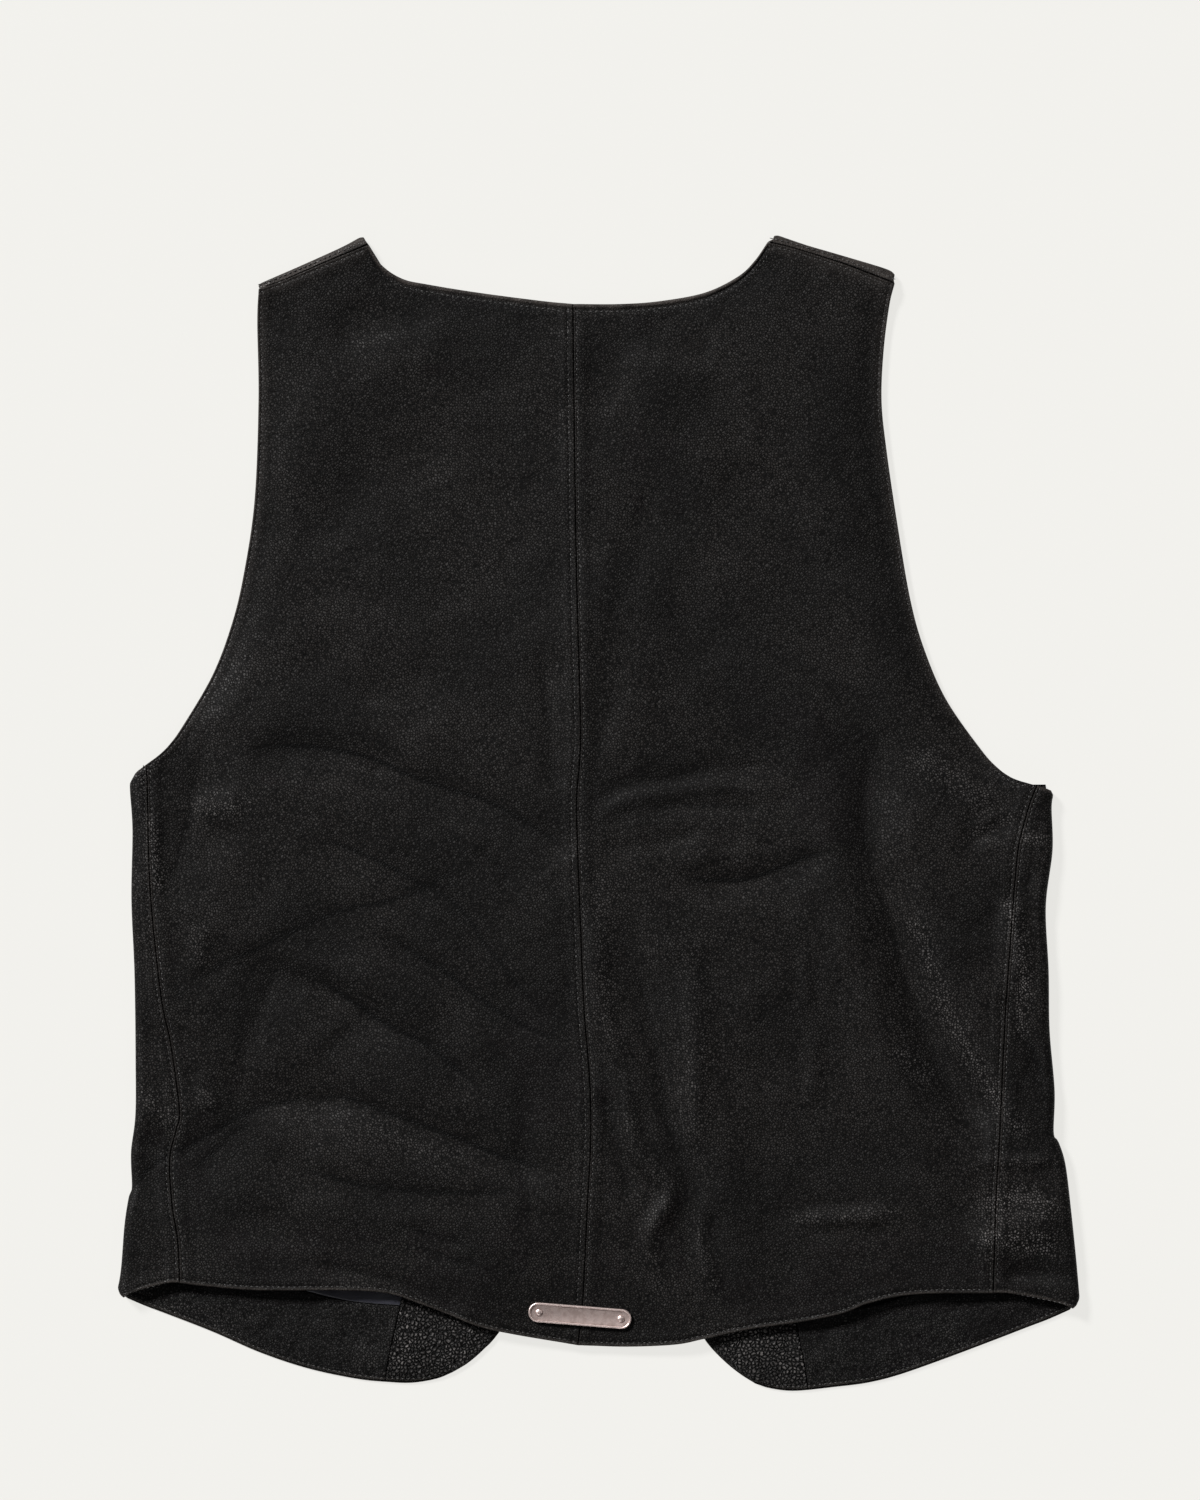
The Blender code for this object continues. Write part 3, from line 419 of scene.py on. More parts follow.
def hollow_height(points):
    """A hollow is a bell with a low bell of the other sign on each side of it."""
    total = np.zeros(points.shape[:-1])
    for depth, half, line in HOLLOWS:
        away, along = beside(points, smooth_curve(line, 5), 5 * half)
        sides = 0.35 * np.exp(-((np.abs(away) - 1.9 * half) / (1.1 * half)) ** 2)
        total -= depth * end_fade(along) * (np.exp(-(away / half) ** 2) - sides)
    return total


def painted_glint_of(points):
    """How much glint is painted on the pebbles' tops: the highest of the bells round the table of painted
    glints.
    """
    total = np.zeros(points.shape[:-1])
    for share, half, line in PAINTED_GLINTS:
        away, _ = beside(points, smooth_curve(line, 5), 3 * half)
        total = np.maximum(total, share * np.exp(-(away / half) ** 2))
    return total


def soft_noise(points, size, seed):
    """Smooth random heights of about -1 to 1: random numbers on two turned grids, blended between points."""
    rng = np.random.default_rng(seed)
    total = np.zeros(points.shape[:-1])
    for turn in (0.35, 1.2):
        lattice = rng.standard_normal((NOISE_GRID, NOISE_GRID))
        x = (points[..., 0] * np.cos(turn) - points[..., 1] * np.sin(turn)) / size + NOISE_GRID / 2
        y = (points[..., 0] * np.sin(turn) + points[..., 1] * np.cos(turn)) / size + NOISE_GRID / 2
        i, j = (np.floor(value).astype(int) % (NOISE_GRID - 1) for value in (x, y))
        s, t = ramp(x - np.floor(x)), ramp(y - np.floor(y))
        total += ((1 - s) * (1 - t) * lattice[i, j] + s * (1 - t) * lattice[i + 1, j]
                  + (1 - s) * t * lattice[i, j + 1] + s * t * lattice[i + 1, j + 1])
    return total / 2


def lump_height(points):
    """All the LUMPS added up."""
    return sum(height * soft_noise(points, size, seed) for height, size, seed in LUMPS)


def top_height(points):
    """Height of the middle of the upper layer: folds and lumps over the loft, low along the free edges.
    A soft maximum keeps it off the fronts: least + softness * log(1 + exp((height - least) / softness))."""
    base = loft_height(points) + valley_height(points)
    calm = ramp((np.linalg.norm(points - PLATE_AT, axis=-1) - PLATE_REACH) / PLATE_FADE)
    base = base + calm * (crease_marks(points)[0] + hollow_height(points) + lump_height(points))
    base = LEAST_HEIGHT + LEAST_SOFTNESS * np.logaddexp(0.0, (base - LEAST_HEIGHT) / LEAST_SOFTNESS)
    edges = [smooth_curve(side["armhole"], 5) for side in SIDES.values()] + [smooth_curve(NECK, 4)]
    away = np.min([np.abs(beside(points, line, 6 * EDGE_WIDTH)[0]) for line in edges], axis=0)
    low = np.full(base.shape, EDGE_HEIGHT)
    for side in SIDES.values():
        pit = np.array(side["armhole"][0])
        low = low + PIT_RISE * np.exp(-(np.linalg.norm(points - pit, axis=-1) / PIT_WIDTH) ** 2)
        seam = smooth_curve(side["shoulder_seam"], 5)
        low = low + (base - low) * np.exp(-(beside(points, seam, 4 * EDGE_WIDTH)[0] / EDGE_WIDTH) ** 2)
    low = np.minimum(low, base)
    return low + (base - low) * (1 - np.exp(-((away / EDGE_WIDTH) ** 1.5)))


# Sewn relief: how far the surface stands out at a distance from a seam, a turned edge or the neck's binding
ALLOWANCE = 7.0
SEAM_ROW = {"centre_left": 3.3, "centre_right": 1.7, "side": 2.0, "shoulder": 2.3}
EDGE_ROW = 2.1
BINDING = 2.7
NECK_ROW = 4.3


def seam_relief(away, row):
    """Raised by the layers folded under it, with a rounded shoulder and a groove at the seam and a dip under
    the stitches."""
    return (0.35 * (1 - ramp((away - ALLOWANCE + 1) / 2.5)) + 0.1 * np.exp(-((away - 0.9) / 0.5) ** 2)
            - 0.45 * np.exp(-(away / 0.3) ** 2) - 0.25 * np.exp(-((away - row) / 0.6) ** 2))


def seam_wear_and_sheen(away, share):
    """Brown colour on a seam's rounded shoulder, partly wear and partly painted sheen where it catches light: a
    narrow bell clear of its groove.
    """
    return share * np.exp(-((away - 0.9) / 0.5) ** 2)


def edge_relief(away):
    """A turned edge: a soft bead, a dip under the stitches and the step of the turned-in leather."""
    return (0.35 * np.exp(-((away - 0.8) / 0.9) ** 2) - 0.25 * np.exp(-((away - EDGE_ROW) / 0.8) ** 2)
            + 0.25 * (1 - ramp((away - ALLOWANCE + 1) / 2.5)))


def neck_relief(away):
    """A bound edge: a half-round roll, a groove beside it and a dip under the stitches."""
    roll = np.sqrt(np.clip(1 - ((away - BINDING / 2) / (BINDING / 2)) ** 2, 0, 1))
    return (0.75 * roll - 0.35 * np.exp(-((away - BINDING - 0.3) / 0.5) ** 2)
            - 0.22 * np.exp(-((away - NECK_ROW) / 0.8) ** 2) + 0.2 * (1 - ramp((away - 8) / 3)))


def edge_distances(grid):
    """Distance of each point from the first and last column and the first and last row, along the grid."""
    across = np.cumsum(np.linalg.norm(np.diff(grid, axis=1, prepend=grid[:, :1]), axis=-1), axis=1)
    up = np.cumsum(np.linalg.norm(np.diff(grid, axis=0, prepend=grid[:1]), axis=-1), axis=0)
    return across, across[:, -1:] - across, up, up[-1:] - up


def grid_faces(index):
    """Quads of a grid of vertex numbers."""
    return np.stack([index[:-1, :-1], index[:-1, 1:], index[1:, 1:], index[1:, :-1]], axis=-1).reshape(-1, 4)


def new_piece(name, points, faces, material):
    """A smooth-shaded object from points in pattern millimetres."""
    mesh = bpy.data.meshes.new(name)
    mesh.from_pydata(to_world(points), [], faces)
    mesh.shade_smooth()
    mesh.materials.append(material)
    piece = bpy.data.objects.new(name, mesh)
    bpy.context.scene.collection.objects.link(piece)
    return piece


def mark(piece, field, values):
    """A number at each vertex, which the material reads by its name."""
    attribute = piece.data.attributes.new(field, "FLOAT", "POINT")
    attribute.data.foreach_set("value", np.asarray(values, np.float32))


def shell(name, middle, outward, faces, away, thickness, material, fields):
    """A closed wall round a middle surface. Its half thickness is the root of 1 less the square of
    1 - away / RIM_ROUND, so that it is rounded off to nothing at the edge, where both faces share points."""
    edges = np.sort(np.concatenate([faces[:, [k, (k + 1) % 4]] for k in range(4)]), axis=1)
    pairs, counts = np.unique(edges, axis=0, return_counts=True)
    on_edge = np.zeros(len(middle), bool)
    on_edge[pairs[counts == 1].ravel()] = True
    half = thickness / 2 * np.sqrt(1 - (1 - np.clip(away / RIM_ROUND, 0, 1)) ** 2)
    half[on_edge] = 0.0
    lower_of = np.where(on_edge, np.arange(len(middle)), len(middle) + np.cumsum(~on_edge) - 1)
    shift = outward * half[:, None]
    points = np.vstack([middle + shift, (middle - shift)[~on_edge]])
    one = middle[faces[0]]
    if np.cross(one[1] - one[0], one[3] - one[0]) @ outward[faces[0][0]] < 0:
        faces = faces[:, ::-1]
    piece = new_piece(name, points, np.vstack([faces, lower_of[faces[:, ::-1]]]), material)
    for field, values in fields.items():
        mark(piece, field, np.concatenate([values, values[~on_edge]]))
    return piece


def add(tree, kind, inputs=None, **settings):
    """A node with its settings; each input is a plain value or the output of another node."""
    made = tree.nodes.new(kind)
    for name, value in settings.items():
        setattr(made, name, value)
    for name, value in (inputs or {}).items():
        if isinstance(value, bpy.types.NodeSocket):
            tree.links.new(value, made.inputs[name])
        else:
            made.inputs[name].default_value = value
    return made


def math(tree, operation, a, b=0.0):
    """The result of one Math node."""
    return add(tree, "ShaderNodeMath", {0: a, 1: b}, operation=operation).outputs[0]


def spread(tree, value, low, high, to_low=0.0, to_high=1.0):
    """Smooth step of a value from low to high, spread over to_low to to_high."""
    inputs = {"Value": value, "From Min": low, "From Max": high, "To Min": to_low, "To Max": to_high}
    return add(tree, "ShaderNodeMapRange", inputs, interpolation_type="SMOOTHSTEP").outputs["Result"]


def blended(tree, factor, a, b):
    """Mix of two colours."""
    return add(tree, "ShaderNodeMix", {0: factor, 6: a, 7: b}, data_type="RGBA").outputs[2]


def new_material(name):
    """A new material, its nodes, its shader and the socket of its Object coordinates."""
    material = bpy.data.materials.new(name)
    material.use_nodes = True
    tree = material.node_tree
    return material, tree, tree.nodes["Principled BSDF"], add(tree, "ShaderNodeTexCoord").outputs["Object"]


def new_group(name, inputs, outputs):
    """An empty shader node group; inputs and outputs map names to socket kinds."""
    group = bpy.data.node_groups.new(name, "ShaderNodeTree")
    for in_out, sockets in (("INPUT", inputs), ("OUTPUT", outputs)):
        for socket, kind in sockets.items():
            group.interface.new_socket(name=socket, in_out=in_out, socket_type=kind)
    return group, add(group, "NodeGroupInput"), add(group, "NodeGroupOutput")


def leather_grain_group():
    """Pebbled grain: warped cells, each a dome that falls to the grooves round it and is rubbed on its top.
    Inputs: Vector, and Cells, how many in a metre. Outputs, all 0 to 1: Dome, the height; Top, where the dome
    is polished, less on some pebbles than on others, which also places the painted glints; Groove, 1 in the
    grooves, where shade is painted into the colour."""
    group, given, result = new_group(
        "leather_grain", {"Vector": "NodeSocketVector", "Cells": "NodeSocketFloat"},
        {"Dome": "NodeSocketFloat", "Top": "NodeSocketFloat", "Groove": "NodeSocketFloat"})
    vector, cells = given.outputs["Vector"], given.outputs["Cells"]
    coarse = math(group, "MULTIPLY", cells, 0.45)
    bend = add(group, "ShaderNodeTexNoise", {"Vector": vector, "Scale": coarse, "Detail": 1.0})
    bend = {0: bend.outputs["Color"], 1: (0.5, 0.5, 0.5)}
    centred = add(group, "ShaderNodeVectorMath", bend, operation="SUBTRACT").outputs[0]
    size = math(group, "DIVIDE", 1.0, cells)
    shift = add(group, "ShaderNodeVectorMath", {0: centred, "Scale": size}, operation="SCALE").outputs[0]
    warped = add(group, "ShaderNodeVectorMath", {0: vector, 1: shift}, operation="ADD").outputs[0]
    pebble = {"Vector": warped, "Scale": cells, "Randomness": 0.85}
    to_edge = add(group, "ShaderNodeTexVoronoi", pebble, feature="DISTANCE_TO_EDGE").outputs["Distance"]
    random = add(group, "ShaderNodeTexVoronoi", pebble).outputs["Color"]
    chance = add(group, "ShaderNodeSeparateColor", {0: random})
    shown_share = spread(group, chance.outputs[0], 0.5, 1.0, 0.45, 1.0)
    group.links.new(spread(group, to_edge, 0.0, 0.45), result.inputs["Dome"])
    group.links.new(math(group, "MULTIPLY", spread(group, to_edge, 0.10, 0.38), shown_share), result.inputs["Top"])
    group.links.new(spread(group, to_edge, 0.02, 0.25, 1.0, 0.0), result.inputs["Groove"])
    return group


def wrinkle_group():
    """Fine wrinkles of worn leather: the dark threads where a stretched noise crosses its middle value.
    Inputs: Vector and Size, the wrinkles' spacing in metres. Output: Height, 0 to 1."""
    group, given, result = new_group(
        "leather_wrinkles", {"Vector": "NodeSocketVector", "Size": "NodeSocketFloat"},
        {"Height": "NodeSocketFloat"})
    scale = math(group, "DIVIDE", 1.0, given.outputs["Size"])
    noise = add(group, "ShaderNodeTexNoise", {
        "Vector": given.outputs["Vector"], "Scale": scale, "Detail": 3.0, "Roughness": 0.55,
        "Distortion": 0.6}).outputs["Fac"]
    fold = math(group, "ABSOLUTE", math(group, "SUBTRACT", noise, 0.5))
    group.links.new(spread(group, fold, 0.0, 0.11), result.inputs["Height"])
    return group


GRAIN = leather_grain_group()
WRINKLES = wrinkle_group()


def leather(name, look):
    """Worn black leather from its look: colours, wear, polish, grain and wrinkles, with painted light and shade
    in its colour.
    Its attributes give how much brown edge colour is laid on, as wear and as painted sheen where rims catch
    light;
    how much painted glint the pebbles' tops get; crease, the signed distance in millimetres from the nearest
    crease;
    and how much shade is painted along that crease's line. The grain's grooves get painted shade too."""
    material, tree, shader, place = new_material(name)
    grain = add(tree, "ShaderNodeGroup", node_tree=GRAIN)
    tree.links.new(place, grain.inputs["Vector"])
    grain.inputs["Cells"].default_value = look["cells"]
    wrinkles = add(tree, "ShaderNodeGroup", node_tree=WRINKLES)
    tree.links.new(place, wrinkles.inputs["Vector"])
    wrinkles.inputs["Size"].default_value = look["wrinkle_size"]
    patches = add(tree, "ShaderNodeTexNoise", {"Vector": place, "Scale": 16.0, "Detail": 2.0}).outputs["Fac"]
    edge_breakup = add(tree, "ShaderNodeTexNoise", {"Vector": place, "Scale": 120.0, "Detail": 3.0}).outputs["Fac"]
    # Painted shade along the crease lines: darkest at the line, gone by 2.6 mm from it
    away = add(tree, "ShaderNodeAttribute", attribute_name="crease").outputs["Fac"]
    depth = add(tree, "ShaderNodeAttribute", attribute_name="crease_depth").outputs["Fac"]
    line = math(tree, "MULTIPLY", spread(tree, math(tree, "ABSOLUTE", away), 0.3, 2.6, 1.0, 0.0), depth)
    line = math(tree, "MINIMUM", line, 0.96)
    hide = blended(tree, spread(tree, patches, 0.35, 0.65), look["dark"], look["light"])
    # Painted shade: the grain's grooves and the crease lines are darkened towards near-black
    hide = blended(tree, grain.outputs["Groove"], hide, GROOVE_SHADE)
    hide = blended(tree, line, hide, GROOVE_SHADE)
    # Painted highlight: where painted glints are marked, the pebbles' tops are lightened towards pale grey
    painted_glint = add(tree, "ShaderNodeAttribute", attribute_name="painted_glint").outputs["Fac"]
    hide = blended(tree, math(tree, "MULTIPLY", grain.outputs["Top"], painted_glint), hide, PAINTED_GLINT_COLOUR)
    # Brown edges: wear, and painted sheen where rims, seam ridges and the shoulder strips catch light
    wear_and_sheen = add(tree, "ShaderNodeAttribute", attribute_name="wear_and_sheen").outputs["Fac"]
    shown_share = math(tree, "MULTIPLY", wear_and_sheen, spread(tree, edge_breakup, 0.28, 0.62, 0.35, 1.0))
    tree.links.new(blended(tree, shown_share, hide, look["wear_and_sheen"]), shader.inputs["Base Color"])
    shader.inputs["Roughness"].default_value = look["rough"]
    shader.inputs["Specular IOR Level"].default_value = 0.08
    polish = spread(tree, patches, 0.38, 0.62, look["polish"], 1.0)
    polish = math(tree, "MULTIPLY", grain.outputs["Top"], polish)
    polish = math(tree, "MULTIPLY", polish, math(tree, "SUBTRACT", 1.0, line))
    tree.links.new(polish, shader.inputs["Coat Weight"])
    shader.inputs["Coat Roughness"].default_value = look["polish_rough"]
    shader.inputs["Coat Tint"].default_value = (1.0, 0.965, 0.945, 1.0)
    folds = add(tree, "ShaderNodeBump", {"Strength": 1.0, "Distance": look["wrinkle_depth"],
                                         "Height": wrinkles.outputs["Height"]})
    bumps = add(tree, "ShaderNodeBump", {"Strength": 1.0, "Distance": look["grain_depth"],
                                         "Height": grain.outputs["Dome"], "Normal": folds.outputs["Normal"]})
    tree.links.new(bumps.outputs["Normal"], shader.inputs["Normal"])
    return material


# Colours of the painted shade in grooves and creases, and of the painted glints on pebble tops
GROOVE_SHADE = (0.0006, 0.0005, 0.0005, 1.0)
PAINTED_GLINT_COLOUR = (0.130, 0.123, 0.120, 1.0)
SHELL_LEATHER = leather("shell_leather", {
    "dark": (0.0027, 0.0021, 0.0018, 1.0), "light": (0.0056, 0.0044, 0.0038, 1.0),
    "wear_and_sheen": (0.034, 0.029, 0.026, 1.0), "rough": 0.60, "polish": 0.62, "polish_rough": 0.48, "cells": 640.0,
    "grain_depth": 0.0003, "wrinkle_size": 0.011, "wrinkle_depth": 0.0001})


def mostly(*terms):
    """How much brown edge colour each point gets, as wear and painted sheen: the highest of its terms, kept
    from 0 to 1.
    """
    return np.clip(np.max(terms, axis=0), 0, 1)


def rubbed(away, share, reach, power=2):
    """Brown edge colour, wear and painted sheen, that fades away from an edge: share * exp(-(away / reach) **
    power).
    """
    return share * np.exp(-(away / reach) ** power)


def back_half(name):
    """Half of the back, with its seams, turned edges and neck binding raised in its upper face."""
    side = SIDES[name]
    u = spaced(235.0)
    v = np.concatenate([PIT_SHARE * spaced(320.0, at_end=False),
                        PIT_SHARE + (1 - PIT_SHARE) * spaced(285.0, at_start=False)[1:]])
    bottom = at_shares(smooth_curve(side["back_hem"]), u)
    top = in_turn([side["shoulder_seam"], side["neck"]], [0, SHOULDER_SHARE, 1], u)
    outer = in_turn([side["side_seam"], side["armhole"]], [0, PIT_SHARE, 1], v)
    inner = in_turn([CENTRE_SEAM_LOW, CENTRE_SEAM_HIGH], [0, PIT_SHARE, 1], v)
    bottom[0], bottom[-1] = outer[0], inner[0]
    outer[-1], top[-1] = top[0], inner[-1]
    grid = patch(bottom, top, outer, inner, u, v)
    from_outer, from_inner, from_hem, from_top = edge_distances(grid)
    at_side = (v <= PIT_SHARE)[:, None] & np.ones(len(u), bool)
    at_shoulder = (u <= SHOULDER_SHARE)[None, :] & np.ones((len(v), 1), bool)
    side_away = np.where(at_side, from_outer, np.inf)
    armhole_away = np.where(at_side, np.inf, from_outer)
    shoulder_away = np.where(at_shoulder, from_top, np.inf)
    neck_away = np.where(at_shoulder, np.inf, from_top)
    height = (top_height(grid) + seam_relief(from_inner, SEAM_ROW[f"centre_{name}"])
              + seam_relief(side_away, SEAM_ROW["side"]) + seam_relief(shoulder_away, SEAM_ROW["shoulder"])
              + edge_relief(armhole_away) + edge_relief(from_hem) + neck_relief(neck_away))
    # Brown edge colour: worn binding, edges and seams, with painted sheen where rims, seam ridges and the
    # shoulders catch light
    wear_and_sheen = mostly(rubbed(neck_away, 0.9, BINDING, 4), rubbed(armhole_away, 0.75, 1.1),
                  rubbed(from_hem, 0.9, 1.1), rubbed(armhole_away, 0.22, 5.0), rubbed(shoulder_away, 0.22, 6.0),
                  seam_wear_and_sheen(shoulder_away, 0.4), seam_wear_and_sheen(side_away, 0.15), seam_wear_and_sheen(from_inner, 0.1))
    free = np.min([armhole_away, from_hem, neck_away], axis=0)
    sewn = np.min([side_away, from_inner, shoulder_away], axis=0)
    away = np.minimum(free, SEAM_TIGHTER * sewn).ravel()
    _, crease_away, crease_depth = crease_marks(grid)
    middle = np.concatenate([grid, height[..., None]], axis=-1).reshape(-1, 3)
    index = np.arange(len(middle)).reshape(height.shape)
    up = np.tile([0.0, 0.0, 1.0], (len(middle), 1))
    piece = shell(f"back_{name}_leather", middle, up, grid_faces(index), away, LEATHER, SHELL_LEATHER,
                  {"wear_and_sheen": wear_and_sheen.ravel(), "painted_glint": painted_glint_of(grid).ravel(), "crease": crease_away.ravel(),
                   "crease_depth": crease_depth.ravel()})
    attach(piece, "root")
    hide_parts(f"back_{name}")
    return piece


BACK_CUT = {"left": (0.257, 0.637, 0.1328), "right": (0.269, 0.641, 0.1344)}
for side_name, (cut_width, cut_length, cut_area) in BACK_CUT.items():
    back = back_half(side_name)


# The fronts: the same leather, lying flat under the back. Each turns up round the side fold and over the
# shoulder to a seam on top, is cut away in a curve below the last button, and the left laps over the right.
# One closed wall each: the flat part, the strip round the side and the strip over the shoulder.
# How far the side fold and the shoulder fold stand out; how many degrees the side fold turns at its ends,
# over which lengths; how far the hem bows round it; and how its corners draw in
FOLD_REACH = 4.0
SHOULDER_REACH = 2.6
FRONT_MID = LEATHER / 2
ARC_STEPS = 14
HEM_TURN = 35.0
PIT_TURN = {"left": 42.0, "right": 22.0}
HEM_BOW = 2.2
HEM_FADES = (9.0, 22.0)
PIT_FADE = 10.0
CORNER_TAPER = 0.3
CORNER_REACH = 1.6
CAP_STEPS = [0, 4, 6, 8, 9, 10, 11, 12]
CENTRE_FRONT_X = (1.5, -9.0)
CENTRE_FRONT_Y = (-212.0, 90.0)
BUTTON_THICK = 2.6
LAP_GAP = 0.3
LIFT_TOP = (150.0, 105.0)
INNER_BREAKS = [0, 0.15, 0.6, 0.675, 1]
FRONTS = {
    "left": {
        "side_outline": [(-279.7, -281), (-277, -265), (-274.9, -239), (-272.4, -222.7), (-270.7, -217.5),
            (-271.2, -197), (-268.6, -175.2), (-268.5, -143.3), (-269.1, -94), (-270.9, -50.5),
            (-270.3, -10), (-271.8, 14), (-271.4, 24.6)],
        "shoulder_outline": [(-197.8, 306.9), (-187.3, 311.5), (-172.8, 317.8), (-149.6, 328.3),
            (-136.6, 335.3)],
        "front_armhole": [(-266.7, 24.6), (-243, 36.5), (-222, 68), (-207, 104), (-193, 150), (-187, 200),
            (-186, 250), (-189.5, 285), (-194.4, 304.6)],
        "front_hem": [(-273.7, -282), (-263, -286.6), (-251.7, -290.8), (-223.9, -301.6), (-196, -313.8),
            (-168.2, -323), (-140.4, -328.9), (-121.8, -330.8), (-107.9, -331.2), (-94, -328.9),
            (-84.7, -325.2)],
        "cutaway": [(-84.7, -325.2), (-75.4, -319.6), (-66.1, -311.5), (-56.8, -301), (-30, -262),
            (11.5, -212)],
        "neckline": [(0.5, 90), (-25, 140), (-60, 200), (-95, 262), (-118, 303), (-125.5, 317.5),
            (-134.3, 331.9)],
        "button_edge": 10.0,
        "lift": BUTTON_THICK + LAP_GAP,
        "lift_across": (-46.0, -20.0),
        "lift_up": (-228.0, -206.0),
    },
    "right": {
        "side_outline": [(280, -287.4), (278.2, -265), (274.6, -230), (271.4, -204), (267.4, -191),
            (264.6, -185.6), (265.1, -160.7), (262.2, -126), (261.6, -91), (260, -54), (263.9, -21.5),
            (263.4, 4), (265.2, 14)],
        "shoulder_outline": [(172.9, 313.4), (164.5, 317), (136.3, 325.4), (120, 330.2), (102.6, 336.2)],
        "front_armhole": [(259.7, 14), (238, 13.6), (214, 32), (192, 64), (178, 96), (165, 140), (156, 190),
            (153, 240), (158, 278), (170.6, 305.4)],
        "front_hem": [(274.6, -288.6), (262, -294.2), (249.4, -299), (230.8, -306.2), (203, -316.7),
            (175.2, -326.5), (156.6, -331.2), (138, -333.6), (115, -335.9), (100.9, -334.6),
            (91.6, -331.8)],
        "cutaway": [(91.6, -331.8), (82.4, -326), (73.1, -318.4), (63.8, -308.6), (57, -298), (30, -256),
            (-8.5, -212)],
        "neckline": [(-18, 90), (8, 145), (40, 210), (70, 270), (88, 309), (101.4, 332.6)],
        "button_edge": -10.0,
        "lift": BUTTON_THICK + LAP_GAP + LEATHER + LAP_GAP,
        "lift_across": (66.0, 22.0),
        "lift_up": (-248.0, -224.0),
    },
}


def centre_front(y):
    """x of the centre front line at each y."""
    return np.interp(y, CENTRE_FRONT_Y, CENTRE_FRONT_X)


def front_height(name, points):
    """Height of the middle of a front's wall: flat on the table, and lifted over the buttons at the overlap.
    The lift is the product of three smooth steps, each from its start to where it is full."""
    x, y = points[..., 0], points[..., 1]
    cut = FRONTS[name]
    steps = [(x - centre_front(y), cut["lift_across"]), (y, cut["lift_up"]), (y, LIFT_TOP)]
    lift = cut["lift"]
    for value, (start, full) in steps:
        lift = lift * ramp((value - start) / (full - start))
    return FRONT_MID + lift


def side_fold(name, shares):
    """Where the fold round the side begins: the side outline moved in by the fold's reach."""
    line = at_shares(smooth_curve(FRONTS[name]["side_outline"]), shares)
    return line - np.array([SIDES[name]["out"] * (FOLD_REACH + LEATHER / 2), 0.0])


def turned_strip(base, end, shares, reach, outward_flat, relief):
    """Rows of points round a fold and on to a seam on top. Round the fold a point moves out by the sine of
    its angle and up by 1 less its cosine; past it, it follows the upper layer's height to the seam."""
    start = base[:, :2]
    top_start = top_height(start)
    middle = (top_start + base[:, 2]) / 2
    half = (top_start - base[:, 2]) / 2
    angle = np.linspace(0, np.pi, ARC_STEPS + 1)[1:, None]
    place = start[None] + outward_flat[None] * (reach * np.sin(angle))[..., None]
    arc = np.concatenate([place, (middle - half * np.cos(angle))[..., None]], axis=-1)
    way = np.concatenate([outward_flat[None] * np.sin(angle)[..., None],
                          np.broadcast_to(-np.cos(angle)[..., None], place.shape[:2] + (1,))], axis=-1)
    way = way / np.linalg.norm(way, axis=-1)[..., None]
    flat = start[None] + (end - start)[None] * shares[1:, None, None]
    away = np.linalg.norm(end - start, axis=-1)[None] * (1 - shares[1:, None])
    strip = np.concatenate([flat, (top_height(flat) + relief(away))[..., None]], axis=-1)
    ways = np.concatenate([way, np.broadcast_to([0.0, 0.0, 1.0], strip.shape)])
    return np.concatenate([arc, strip]), ways, np.concatenate([np.full(arc.shape[:2], np.inf), away])


def end_taper(run):
    """Share of a fold's reach at each point of its run, less at both ends so that the corners are round."""
    ends = np.exp(-(run / CORNER_REACH) ** 2) + np.exp(-((run[-1] - run) / CORNER_REACH) ** 2)
    return 1 - CORNER_TAPER * ends


